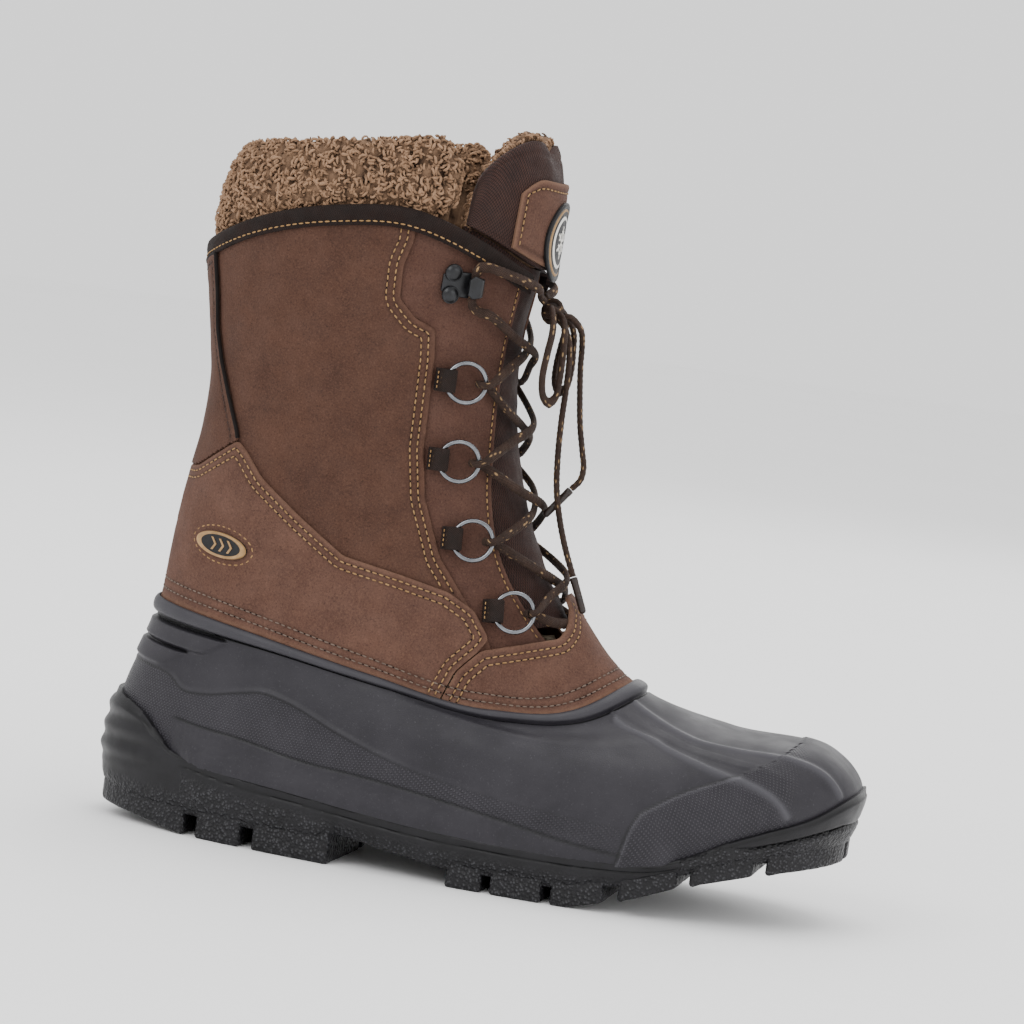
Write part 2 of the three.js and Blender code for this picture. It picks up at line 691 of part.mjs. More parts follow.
function tongueBadge() {
  const middle = 254;
  return curvedDisc((a, b, side) => {
    const found = locate('y', a, alongZ(middle) + b, a < 0 ? LATERAL : MEDIAL);
    return skin(found.angle, found.level, side ? 1.5 : 0.2);
  }, BADGE_DIAMETER / 2, BADGE_DIAMETER / 2);
}

function heelLabel() {
  const middle = { x: -109, z: 117 };
  const tilt = radians(4);
  return curvedDisc((a, b, side) => {
    const x = alongX(middle.x) + a * Math.cos(tilt) - b * Math.sin(tilt);
    const z = alongZ(middle.z) - a * Math.sin(tilt) + b * Math.cos(tilt);
    const found = locate('x', x, z, LATERAL);
    return skin(found.angle, found.level, OVERLAY + (side ? 2 : GAP));
  }, LABEL_LENGTH / 2 * 0.92, LABEL_HEIGHT / 2);
}

// ---------------------------------------------------------------- rings on webbing, hooks and rivets

// ring centres in side view, top row first
const RING_PLACES = [[-20, 195], [-18.5, 164], [-9, 134], [10.5, 108]];
const HOOK_PLACE = [-26, 232.5];

/** Axes on the upper at a side-view place: forward along the leather, up along it, and out of it. */
function frameAt([x, z], side, out) {
  const { angle, level } = locate('x', alongX(x), alongZ(z), side);
  const outward = normal(angle, level);
  const up = new THREE.Vector3(0, 0, 1);
  const forward = new THREE.Vector3().crossVectors(up, outward).normalize();
  if (forward.x < 0) forward.negate();
  const rise = new THREE.Vector3().crossVectors(outward, forward).normalize();
  if (rise.z < 0) rise.negate();
  return { origin: skin(angle, level, out), forward, rise, outward };
}

const at = (frame, a, b, c) => frame.origin.clone()
  .addScaledVector(frame.forward, a).addScaledVector(frame.rise, b).addScaledVector(frame.outward, c);

/** Places a geometry drawn in forward (x), rise (y) and outward (z) on the upper. */
function onUpper(geometry, frame) {
  const matrix = new THREE.Matrix4().makeBasis(frame.forward, frame.rise, frame.outward);
  matrix.setPosition(frame.origin);
  geometry.applyMatrix4(matrix);
  return matrix.determinant() < 0 ? facesReversed(geometry) : geometry;
}

/** Reverses the winding of a mirrored geometry. */
function facesReversed(geometry) {
  const flat = geometry.index ? geometry.toNonIndexed() : geometry.clone();
  const position = flat.attributes.position;
  for (let i = 0; i < position.count; i += 3) {
    const b = new THREE.Vector3().fromBufferAttribute(position, i + 1);
    const c = new THREE.Vector3().fromBufferAttribute(position, i + 2);
    position.setXYZ(i + 1, c.x, c.y, c.z);
    position.setXYZ(i + 2, b.x, b.y, b.z);
  }
  return flat;
}

const wireRadius = RING_WIRE / 2;
const legLow = GAP + 0.25;                                // webbing's lower leg above the eyestay
const wireHeight = legLow + WEBBING_THICKNESS + GAP + wireRadius + 0.35;
const RING_STEPS = 16;
const insideRadius = (RING_RADIUS - wireRadius) * Math.cos(Math.PI / RING_STEPS);
// how far forward the bent wire reaches at the webbing's edges, and how high when swung out
const wireReach = RING_RADIUS - Math.sqrt(insideRadius ** 2 - (WEBBING_WIDTH / 2) ** 2);
const swungOut = radians(RING_TILT + RING_SWING);
const wireRise = (wireReach - wireRadius / 2) * Math.sin(swungOut) + wireRadius * Math.cos(swungOut);

const HINGE_SET = 7.8;            // how far a ring's hinge lies behind the ring's place
/** The ring's rear wire, where it turns in its webbing loop. */
const ringHinge = (place, side) => {
  const frame = frameAt(place, side, EYESTAY);
  return { ...frame, origin: at(frame, -HINGE_SET, 0, wireHeight) };
};

/** The side of a ring that the lace pulls on. */
const ringFront = (place, side) => {
  const hinge = ringHinge(place, side);
  const reach = 2 * RING_RADIUS;
  return at(hinge, reach * Math.cos(radians(RING_TILT)), 0, reach * Math.sin(radians(RING_TILT)));
};

function laceRing(place, side) {
  const hinge = ringHinge(place, side);
  const geometry = new THREE.TorusGeometry(RING_RADIUS, wireRadius, 6, RING_STEPS);
  geometry.translate(RING_RADIUS, 0, 0);
  geometry.rotateY(-radians(RING_TILT));
  return onUpper(geometry, hinge);
}

function webbingLoop(place, side) {
  const hinge = ringHinge(place, side);
  const slotFront = wireReach + GAP;
  const slotRear = -wireRadius - GAP;
  const front = slotFront + WEBBING_THICKNESS;
  const rear = -4.2;
  const low = legLow - wireHeight;
  const high = wireRise + GAP + WEBBING_THICKNESS;
  const shape = new THREE.Shape();
  shape.moveTo(rear, low);
  shape.lineTo(front - 0.8, low);
  shape.lineTo(front, low + 0.8);
  shape.lineTo(front, high - 0.8);
  shape.lineTo(front - 0.8, high);
  shape.lineTo(slotRear - 0.8, high);
  shape.lineTo(rear, low + 2 * WEBBING_THICKNESS);
  const hole = new THREE.Path();
  hole.moveTo(slotRear, low + WEBBING_THICKNESS);
  hole.lineTo(slotFront, low + WEBBING_THICKNESS);
  hole.lineTo(slotFront, high - WEBBING_THICKNESS);
  hole.lineTo(slotRear, high - WEBBING_THICKNESS);
  shape.holes.push(hole);
  const geometry = new THREE.ExtrudeGeometry(shape, { depth: WEBBING_WIDTH, bevelEnabled: false });
  geometry.translate(0, 0, -WEBBING_WIDTH / 2);
  geometry.rotateX(Math.PI / 2);
  return onUpper(geometry, hinge);
}

/** Outline of a bent strip of even thickness. */
function stripOutline(points, thickness) {
  const side = (sign) => points.map((p, i) => {
    const before = points[Math.max(i - 1, 0)];
    const after = points[Math.min(i + 1, points.length - 1)];
    const along = after.clone().sub(before).normalize();
    return new THREE.Vector2(p.x - sign * along.y * thickness / 2, p.y + sign * along.x * thickness / 2);
  });
  return [...side(1), ...side(-1).reverse()];
}

const HOOK_PLAY = 0.45;           // room for the lace in the hook's curl
const hookBend = LACE_DIAMETER / 2 + HOOK_THICKNESS / 2 + HOOK_PLAY;
const hookFlat = GAP + 0.3 + HOOK_THICKNESS / 2;          // middle of the plate above the eyestay

function laceHook(side) {
  const frame = frameAt(HOOK_PLACE, side, EYESTAY);
  const line = [new THREE.Vector2(-7, hookFlat), new THREE.Vector2(6, hookFlat)];
  for (let k = -2; k <= 3; k += 1) {
    const angle = radians(k * 30);
    line.push(new THREE.Vector2(6 + hookBend * Math.cos(angle), hookFlat + hookBend * (1 + Math.sin(angle))));
  }
  line.push(new THREE.Vector2(2.5, hookFlat + 2 * hookBend + 0.5));
  const shape = new THREE.Shape(stripOutline(line, HOOK_THICKNESS));
  const geometry = new THREE.ExtrudeGeometry(shape, { depth: HOOK_WIDTH, bevelEnabled: false });
  geometry.translate(0, 0, -HOOK_WIDTH / 2);
  geometry.rotateX(Math.PI / 2);
  return onUpper(geometry, frame);
}

const RIVET_RISE = 4.4;           // each rivet's distance above or below the hook's middle

function rivet(side, sign) {
  const frame = frameAt(HOOK_PLACE, side, EYESTAY);
  const low = hookFlat + HOOK_THICKNESS / 2 + GAP;
  const r = RIVET_DIAMETER / 2;
  const profile = [[0, 0], [r, 0], [r, 0.6], [r * 0.7, 1.6], [0, 2]];
  const geometry = new THREE.LatheGeometry(profile.map(([x, y]) => new THREE.Vector2(x, y + low)), 12);
  geometry.rotateX(Math.PI / 2);
  geometry.translate(-3.2, sign * RIVET_RISE, 0);
  return onUpper(geometry, frame);
}

// ---------------------------------------------------------------- lace

/** A curve whose steps follow its points, so that tight turns get as many steps as long runs. */
class StitchedCurve extends THREE.CatmullRomCurve3 {
  getPointAt(t) { return this.getPoint(t); }
  getTangentAt(t) { return this.getTangent(t); }
}

function cord(points, steps, diameter = LACE_DIAMETER) {
  const shape = new THREE.Shape();
  shape.absarc(0, 0, diameter / 2, 0, 2 * Math.PI);
  const sides = 8;
  const round = new THREE.Shape(shape.getSpacedPoints(sides).slice(0, sides));
  const extrudePath = new StitchedCurve(points, false, 'centripetal');
  return new THREE.ExtrudeGeometry(round, { steps, extrudePath, bevelEnabled: false });
}

const laceRadius = LACE_DIAMETER / 2;
const LACE_TURN = (wireRadius + GAP + laceRadius) / Math.cos(Math.PI / 8) + 0.2;  // bend round a ring's wire
const TONGUE_CLEAR = INNER + laceRadius + GAP + 0.5;      // lace resting on the tongue

/** The lace's turn through a ring, from under its free side to over it. */
function turnThrough(place, side) {
  const front = ringFront(place, side);
  const frame = frameAt(place, side, EYESTAY);
  const tilt = radians(RING_TILT);
  const inPlane = frame.forward.clone().multiplyScalar(Math.cos(tilt))
    .addScaledVector(frame.outward, Math.sin(tilt));
  const outOfPlane = frame.outward.clone().multiplyScalar(Math.cos(tilt))
    .addScaledVector(frame.forward, -Math.sin(tilt));
  return [-90, -135, 180, 135, 90].map((degrees) => front.clone()
    .addScaledVector(inPlane, LACE_TURN * Math.cos(radians(degrees)))
    .addScaledVector(outOfPlane, LACE_TURN * Math.sin(radians(degrees))));
}

/** The lace's turn behind a hook's curl. */
function turnBehindHook(side) {
  const frame = frameAt(HOOK_PLACE, side, EYESTAY);
  const height = hookFlat + HOOK_THICKNESS / 2 + laceRadius + GAP;
  const route = [[13, -10, 1.4], [9, -9.4, 0.8], [6, -7.4, 0.2], [5.2, 0, 0], [6, 7.4, 0.4], [9.5, 8.6, 1.6],
    [13, 8, 3]];
  return route
    .map(([a, b, c]) => at(frame, a, b, height + c));
}

/** A point over the tongue at an angle from the front, at a height, clear of it by `out`. */
function overTongue(degrees, z, out) {
  const { level } = locate('y', 0, alongZ(z), MEDIAL);
  return skin(radians(degrees), level, TONGUE_CLEAR + out);
}

const KNOT_Z = 227;
const KNOT_OUT = 7;
const KNOT_SIZE = new THREE.Vector3(4.6, 6.4, 5.4);       // half sizes: forward, across, up
const knotCentre = overTongue(0, KNOT_Z, KNOT_OUT);

/** Where a cord leaves the knot in a direction (forward, medial, up), and the next point of its way out. */
function knotPort(x, y, z) {
  const direction = new THREE.Vector3(x, y, z).normalize();
  const reach = 1 / direction.clone().divide(KNOT_SIZE).length();
  return [reach + 2 * GAP, reach + 3.5].map((d) => knotCentre.clone().addScaledVector(direction, d));
}

function throughKnot(points) {
  return points.map(([x, y, z]) => knotCentre.clone().add(new THREE.Vector3(x, y, z)));
}

/** One strand up the boot, from the bar at the lowest rings to the knot, starting on one side. */
function strandUp(start, over) {
  const points = [];
  const edgeLift = over ? 4.4 : 2.9;
  const centreLift = over ? 4.2 : 0.5;
  let side = start;
  RING_PLACES.slice().reverse().forEach((place, row) => {
    const z = place[1];
    const next = row < 3 ? RING_PLACES[2 - row][1] : HOOK_PLACE[1] - 10;
    points.push(...turnThrough(place, side));
    points.push(overTongue(side * 24, z + (next - z) * 0.3, 4.4));
    points.push(overTongue(0, z + (next - z) * 0.5, centreLift));
    points.push(overTongue(-side * 24, z + (next - z) * 0.7, edgeLift));
    side = -side;
  });
  points.push(...turnBehindHook(side));
  points.push(overTongue(side * 19, KNOT_Z + 6.5, 6.4));
  return [...points, ...knotPort(-0.5, 0.75 * side, 0.6).reverse()];
}

function laceCrossed() {
  const first = strandUp(LATERAL, true).reverse();
  const second = strandUp(MEDIAL, false);
  const bar = [[-24, 0, 2.2], [0, -1, 0.8], [24, 0, 2.2]]
    .map(([degrees, drop, out]) => overTongue(degrees, RING_PLACES[3][1] + drop, out));
  const points = [...first, ...bar, ...second];
  return cord(points, points.length - 1);
}

function laceKnot() {
  const geometry = new THREE.SphereGeometry(1, 14, 10);
  geometry.scale(KNOT_SIZE.x, KNOT_SIZE.y, KNOT_SIZE.z);
  geometry.translate(knotCentre.x, knotCentre.y, knotCentre.z);
  return geometry;
}

// routes of the bow's loops and the free ends, from the knot's middle: forward, to the medial side, up
const LOOP_LATERAL = [
  ...knotPort(0.15, -1, 0.05),
  ...throughKnot([[3, -13, -2.5], [4, -16.5, -8], [3.5, -18.5, -16], [3, -19.5, -26], [4, -18, -33],
    [6, -15, -35.5], [8, -12, -33], [8.5, -11, -26], [8.5, -11, -16], [8, -10.5, -9]]),
  ...knotPort(0.75, -0.8, -0.3).reverse(),
];
const LOOP_MEDIAL = [
  ...knotPort(0.15, 1, 0.05),
  ...throughKnot([[3, 14, -1.5], [3, 19, -6], [1.5, 22, -14], [0.5, 23, -22], [1, 22, -29], [3.5, 19, -32],
    [7, 16, -30], [8.5, 14, -23], [8.5, 12, -14], [8, 10.8, -8]]),
  ...knotPort(0.75, 0.8, -0.3).reverse(),
];
const TAIL_SHORT = [
  ...knotPort(1, 0.1, -0.2),
  ...throughKnot([[12, 3, -6], [13, 4.5, -12], [13.5, 4.5, -20], [15, 4, -32], [17, 3, -44], [19.5, 2, -54],
    [21, 1, -60], [20.5, 0, -65], [17.5, -0.5, -69]]),
];
const TAIL_LONG = [
  ...knotPort(0.8, -0.25, -0.75),
  ...throughKnot([[9, -4, -11], [10, -4, -17], [10.5, -4.5, -28], [10.5, -5, -42], [11, -5, -56],
    [12.5, -5, -70], [15.5, -5, -82], [19.5, -5.5, -93], [24, -6, -103]]),
];

const freeCord = (route) => cord(route, (route.length - 1) * 2);

/** The stiff tip on the end of a tail. */
function aglet(route) {
  const end = route[route.length - 1];
  const along = end.clone().sub(route[route.length - 2]).normalize();
  const geometry = new THREE.CylinderGeometry(AGLET_DIAMETER / 2, AGLET_DIAMETER / 2 * 0.9, AGLET_LENGTH, 10);
  geometry.applyQuaternion(new THREE.Quaternion().setFromUnitVectors(new THREE.Vector3(0, -1, 0), along));
  const middle = end.clone().addScaledVector(along, GAP + AGLET_LENGTH / 2);
  geometry.translate(middle.x, middle.y, middle.z);
  return geometry;
}

// ---------------------------------------------------------------- finishes

function finish(color, roughness, metalness = 0) {
  return new THREE.MeshStandardMaterial({ color, roughness, metalness });
}

const rubber = finish('#2b2b2d', 0.75);
const galoshRubber = finish('#343438', 0.6);
const nubuck = finish('#5b4138', 0.9);
const warmNubuck = finish('#6a4c3f', 0.9);
const tape = finish('#2e1d18', 0.85);
const nylon = finish('#33221d', 0.85);
const fleece = finish('#8c6e55', 1);
const felt = finish('#a89a86', 1);
const foam = finish('#55524d', 0.95);
const fibreboard = finish('#8b7355', 0.9);
const steel = finish('#b8babd', 0.3, 1);
const blackMetal = finish('#17181a', 0.4, 0.8);
const laceYarn = finish('#3a2a22', 0.9);
const plastic = finish('#1c1613', 0.4);
const labelFace = finish('#1b1a1a', 0.6);

const boot = new THREE.Group();

function add(name, geometry, material) {
  const mesh = new THREE.Mesh(geometry, material);
  mesh.name = name;
  boot.add(mesh);
}

add('outsole', outsole(), rubber);
add('rubber_galosh', galosh(), galoshRubber);
add('shank', shank(), steel);
add('insole_board', plate(11, boardLow, boardLow + BOARD_THICKNESS), fibreboard);
add('thermal_liner', liner(), felt);
add('footbed', plate(21, bedLow, bedLow + FOOTBED_THICKNESS), foam);
add('fleece_collar', fleeceCollar(), fleece);
add('vamp_panel', vamp(), warmNubuck);
add('counter_panel', counter(), warmNubuck);
add('backstay', backstay(), nubuck);
add('collar_binding', binding(), tape);
add('tongue_lower', tongueLower(), nylon);
add('tongue_top', tongueTop(), nylon);
add('tongue_fleece', tongueFleece(), fleece);
add('tongue_patch', tonguePatch(), warmNubuck);
add('tongue_badge', tongueBadge(), labelFace);
add('heel_label', heelLabel(), labelFace);

for (const [name, side] of [['lateral', LATERAL], ['medial', MEDIAL]]) {
  add(`quarter_${name}`, quarter(side), nubuck);
  add(`eyestay_${name}`, eyestay(side), nubuck);
  add(`lace_hook_${name}`, laceHook(side), blackMetal);
  add(`hook_rivet_${name}_1`, rivet(side, 1), blackMetal);
  add(`hook_rivet_${name}_2`, rivet(side, -1), blackMetal);
  RING_PLACES.forEach((place, row) => {
    add(`lace_ring_${name}_${row + 1}`, laceRing(place, side), steel);
    add(`webbing_loop_${name}_${row + 1}`, webbingLoop(place, side), tape);
  });
}

add('lace_crossed', laceCrossed(), laceYarn);
add('lace_knot', laceKnot(), laceYarn);
add('bow_loop_lateral', freeCord(LOOP_LATERAL), laceYarn);
add('bow_loop_medial', freeCord(LOOP_MEDIAL), laceYarn);
add('lace_tail_short', freeCord(TAIL_SHORT), laceYarn);
add('lace_tail_long', freeCord(TAIL_LONG), laceYarn);
add('aglet_short', aglet(TAIL_SHORT), plastic);
add('aglet_long', aglet(TAIL_LONG), plastic);

export default boot;
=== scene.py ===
"""Visual model of an insulated hunting boot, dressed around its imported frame.

Sizes are given in millimetres and meshes are made in metres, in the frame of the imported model: +X towards the
toe, +Y towards the medial side, +Z up. Every soft or moulded piece is drawn on one surface, the last, which
is a stack of rings; a place on it is an angle round the boot and a level between the rings.
"""

import logging
import math
from dataclasses import dataclass, field
from enum import Enum
from typing import Callable, Optional, Sequence, Union

import bpy
import numpy as np
from mathutils import Matrix, Vector
from mathutils.kdtree import KDTree


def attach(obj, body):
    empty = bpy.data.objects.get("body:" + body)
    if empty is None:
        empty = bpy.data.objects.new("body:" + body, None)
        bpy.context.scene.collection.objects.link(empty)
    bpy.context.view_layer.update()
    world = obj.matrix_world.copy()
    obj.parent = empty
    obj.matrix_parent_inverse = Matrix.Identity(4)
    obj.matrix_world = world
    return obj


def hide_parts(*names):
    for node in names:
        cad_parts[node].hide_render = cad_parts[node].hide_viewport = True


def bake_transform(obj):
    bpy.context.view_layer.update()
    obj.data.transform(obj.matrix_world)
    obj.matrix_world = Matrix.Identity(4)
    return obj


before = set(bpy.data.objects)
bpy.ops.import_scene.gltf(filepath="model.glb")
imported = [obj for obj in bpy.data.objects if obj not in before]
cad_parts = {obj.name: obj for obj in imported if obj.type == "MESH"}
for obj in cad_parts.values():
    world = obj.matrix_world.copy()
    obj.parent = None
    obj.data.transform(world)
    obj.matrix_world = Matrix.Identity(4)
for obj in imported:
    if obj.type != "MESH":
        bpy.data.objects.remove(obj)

LOG = logging.getLogger("boot")
MM = 0.001
Array = np.ndarray
Knots = Sequence[Sequence[float]]
BOOT = "boot"
TONGUE = "tongue_top"


# ------------------------------------------------------------------ the last

def curve(knots: Knots, t: Union[float, Array]) -> Array:
    """Smooth cubic through knots, held at its ends.

    Args:
        knots: Pairs of place and value, in rising order.
        t: Places to read.

    Returns:
        The values at those places.
    """
    place, value = np.array(knots, float).T
    step = np.diff(value) / np.diff(place)
    slope = np.concatenate([step[:1], step])
    before, after = np.diff(place)[:-1], np.diff(place)[1:]
    slope[1:-1] = (step[:-1] * after + step[1:] * before) / (before + after)
    t = np.clip(t, place[0], place[-1])
    i = np.clip(np.searchsorted(place, t, side="right") - 1, 0, len(place) - 2)
    h = place[i + 1] - place[i]
    s = (t - place[i]) / h
    return ((2 * s**3 - 3 * s**2 + 1) * value[i] + (s**3 - 2 * s**2 + s) * h * slope[i]
            + (3 * s**2 - 2 * s**3) * value[i + 1] + (s**3 - s**2) * h * slope[i + 1])


def line(knots: Knots, t: Union[float, Array]) -> Array:
    """Straight lines through knots, held at their ends."""
    place, value = np.array(knots, float).T
    return np.interp(t, place, value)


def ramp(value: Array, low: float, high: float) -> Array:
    """Smooth step from 0 at low to 1 at high."""
    t = np.clip((value - low) / (high - low), 0, 1)
    return t * t * (3 - 2 * t)


def unit(vectors: Array) -> Array:
    """Vectors scaled to length one."""
    return vectors / np.maximum(np.linalg.norm(vectors, axis=-1, keepdims=True), 1e-9)


def distances(path: Array) -> Array:
    """Length of a path up to each of its points."""
    return np.concatenate([[0], np.cumsum(np.linalg.norm(np.diff(path, axis=0), axis=-1))])


@dataclass(frozen=True)
class Ring:
    """One cross-section of the last: a superellipse whose height varies from heel to toe."""

    back: float
    front: float
    lateral: float
    medial: float
    square: float
    taper: float
    swing: float
    height: Knots

    def points(self, angle: Array, inset: Union[float, Array] = 0.0) -> Array:
        """Points of the ring at angles from the toe, optionally inset from its edge."""
        power = 2 / self.square
        c, s = np.cos(angle), np.sin(angle)
        c, s = np.sign(c) * np.abs(c)**power, np.sign(s) * np.abs(s)**power
        half = np.where(s < 0, self.lateral, self.medial)
        x = (self.back + self.front) / 2 + ((self.front - self.back) / 2 - inset) * c
        y = (half - inset) * s * (1 + self.taper * c) + self.swing * np.maximum(c, 0)**2
        return np.stack([x, y, curve(self.height, c)], -1)


RINGS = (
    Ring(-152, 150, 50, 48, 2.6, 0.16, 6, ((-1, 31), (-0.5, 27), (0, 21), (0.6, 23), (1, 43))),
    Ring(-149, 152, 53, 51, 2.6, 0.15, 6, ((-1, 51), (-0.5, 45), (0, 39), (0.6, 37), (1, 57))),
    Ring(-144, 138, 51, 49, 2.5, 0.13, 5, ((-1, 68), (-0.5, 61), (0, 54), (0.6, 52), (1, 70))),
    Ring(-140, 100, 47, 46, 2.3, 0.06, 3, ((-1, 81), (-0.5, 74), (0, 66), (0.6, 62), (1, 73))),
    Ring(-139, 57, 44, 43, 2.2, 0.02, 0,
         ((-1, 91), (-0.5, 85), (0, 77), (0.5, 70), (0.85, 75), (1, 85))),
    Ring(-136, 27, 42, 41, 2.2, 0, 0, ((-1, 127), (0, 117), (0.6, 113), (1, 117))),
    Ring(-130, 6, 43, 43, 2.2, -0.02, 0, ((-1, 177), (0, 167), (1, 163))),
    Ring(-135, -1, 48, 48, 2.2, -0.04, 0, ((-1, 215), (0, 210), (1, 209))),
    Ring(-138, 2, 52, 52, 2.2, -0.05, 0,
         ((-1, 234), (-0.6, 247), (-0.1, 256), (0.3, 258), (0.7, 249), (1, 237))),
    Ring(-132, 4, 48, 48, 2.2, -0.05, 0, ((-1, 278), (0, 286), (1, 297))),
)
SOLE = RINGS[0]
MOUTH, TOP, COLLAR = 4, 8, 9
LATERAL, MEDIAL = -1, 1
SIDES = {"lateral": LATERAL, "medial": MEDIAL}


@dataclass
class Last:
    """The boot's outer surface as rings from the sole (level 0) to the top of the fleece (level 9).

    The surface is worked out once on a fine table of angles and levels and read from it after that.
    """

    columns: int = 1440
    rows: int = 900
    table: Array = field(init=False)
    normals: Array = field(init=False)

    def __post_init__(self) -> None:
        """Works the table out."""
        angle = np.linspace(-math.pi, math.pi, self.columns + 1)
        stack = np.stack([ring.points(angle) for ring in RINGS])
        run = np.sqrt(np.linalg.norm(np.diff(stack, axis=0), axis=-1))[..., None]
        slope = np.diff(stack, axis=0) / run
        tangent = np.concatenate([slope[:1], slope])
        tangent[1:-1] = (slope[:-1] * run[1:] + slope[1:] * run[:-1]) / (run[:-1] + run[1:])
        level = np.linspace(0, COLLAR, self.rows + 1)
        i = np.clip(np.floor(level).astype(int), 0, len(RINGS) - 2)
        s = (level - i)[:, None, None]
        h = run[i]
        points = ((2 * s**3 - 3 * s**2 + 1) * stack[i] + (s**3 - 2 * s**2 + s) * h * tangent[i]
                  + (3 * s**2 - 2 * s**3) * stack[i + 1] + (s**3 - s**2) * h * tangent[i + 1])
        self.table = points.transpose(1, 0, 2)
        loop = np.concatenate([self.table[-6:-1], self.table, self.table[1:6]])
        around = loop[10:] - loop[:-10]
        up = np.empty_like(self.table)
        up[:, 2:-2] = self.table[:, 4:] - self.table[:, :-4]
        up[:, :2] = self.table[:, 2:4] - self.table[:, :1]
        up[:, -2:] = self.table[:, -1:] - self.table[:, -4:-2]
        self.normals = unit(np.cross(around, up))

    def read(self, table: Array, angle: Array, level: Array) -> Array:
        """Values of a table at angles and levels."""
        angle, level = np.broadcast_arrays(np.asarray(angle, float), np.asarray(level, float))
        a = (angle + math.pi) / (2 * math.pi) % 1.0 * self.columns
        b = np.clip(level / COLLAR, 0, 1) * self.rows
        i, j = np.minimum(a.astype(int), self.columns - 1), np.minimum(b.astype(int), self.rows - 1)
        a, b = (a - i)[..., None], (b - j)[..., None]
        low = table[i, j] * (1 - a) + table[i + 1, j] * a
        high = table[i, j + 1] * (1 - a) + table[i + 1, j + 1] * a
        return low * (1 - b) + high * b

    def surface(self, angle: Union[float, Array], level: Union[float, Array]) -> Array:
        """Points at angles and levels."""
        return self.read(self.table, angle, level)

    def normal(self, angle: Union[float, Array], level: Union[float, Array]) -> Array:
        """Outward unit normals."""
        return unit(self.read(self.normals, angle, level))

    def skin(self, angle: Union[float, Array], level: Union[float, Array], out: Union[float, Array]) -> Array:
        """Points that lie `out` millimetres outside the last."""
        return self.surface(angle, level) + self.normal(angle, level) * np.asarray(out, float)[..., None]

    def level_below(self, angle: Array, level: float, distance: Union[float, Array]) -> Array:
        """Levels that lie a distance below (or, negative, above) another one, along the surface.

        Args:
            angle: Angles, one per column.
            level: Level to start from.
            distance: Millimetres, a number or an array whose last axis is the columns.

        Returns:
            Levels in the shape of distance by angle.
        """
        angle = np.atleast_1d(np.asarray(angle, float))
        shape = np.broadcast_shapes(np.shape(distance), angle.shape)
        wanted = np.broadcast_to(distance, shape)
        found = np.empty(shape)
        for goal, sign in ((-0.001, 1), (COLLAR + 0.001, -1)):
            track = np.clip(np.arange(level, goal, -0.02 * sign), 0, COLLAR)
            if len(track) < 2:
                continue
            points = self.surface(angle[:, None], track[None])
            walked = np.cumsum(np.linalg.norm(np.diff(points, axis=1), axis=-1), axis=1)
            walked = np.concatenate([np.zeros((len(angle), 1)), walked], 1)
            for column in range(len(angle)):
                part = wanted[..., column] * sign
                levels = np.interp(part, walked[column], track)
                found[..., column] = np.where(part >= 0, levels, found[..., column])
        return found

    def locate(self, value: Array, z: Array, side: int, axis: int = 0) -> tuple[Array, Array]:
        """Angles and levels of places on one side.

        Args:
            value: Distances towards the toe (axis 0) or from the middle (axis 1, on the front).
            z: Heights.
            side: LATERAL or MEDIAL.
            axis: Which distance is given.

        Returns:
            Angles and levels.
        """
        value, z = np.broadcast_arrays(np.atleast_1d(np.asarray(value, float)), np.asarray(z, float))
        angle = np.full(value.shape, side * (1.2 if axis == 0 else 0.1))
        level = np.full(value.shape, 5.0)
        for _ in range(10):
            low, high = np.zeros(value.shape), np.full(value.shape, float(COLLAR))
            for _ in range(16):
                level = (low + high) / 2
                under = self.surface(angle, level)[..., 2] < z
                low, high = np.where(under, level, low), np.where(under, high, level)
            low, high = np.zeros(value.shape), np.full(value.shape, math.pi / (1 if axis == 0 else 2))
            for _ in range(16):
                half = (low + high) / 2
                found = self.surface(side * half, level)[..., axis]
                past = found > value if axis == 0 else found * side < value * side
                low, high = np.where(past, half, low), np.where(past, high, half)
            angle = side * half
        return angle, level

    def offset(self, angle: Array, level: Array, distance: float, flip: int = 1) -> tuple[Array, Array]:
        """A path moved sideways along the surface.

        Args:
            angle: Angles of the path.
            level: Levels of the path.
            distance: Millimetres to move it by.
            flip: 1 to move it to the left of its run as seen from outside, -1 to the right.

        Returns:
            Angles and levels of the moved path.
        """
        steps = max(1, math.ceil(abs(distance) / 1.5))
        for _ in range(steps):
            points = self.surface(angle, level)
            along = unit(np.gradient(points, axis=0))
            normal = self.normal(angle, level)
            move = np.cross(normal, along) * (flip * distance / steps)
            turn, climb = 1e-2, 2e-2
            da = (self.surface(angle + turn, level) - self.surface(angle - turn, level)) / (2 * turn)
            dl = (self.surface(angle, level + climb) - self.surface(angle, level - climb)) / (2 * climb)
            aa, al, ll = (da * da).sum(-1), (da * dl).sum(-1), (dl * dl).sum(-1)
            ra, rl = (da * move).sum(-1), (dl * move).sum(-1)
            det = aa * ll - al * al
            angle = angle + (ra * ll - rl * al) / det
            level = level + (rl * aa - ra * al) / det
        return angle, level


LAST = Last()


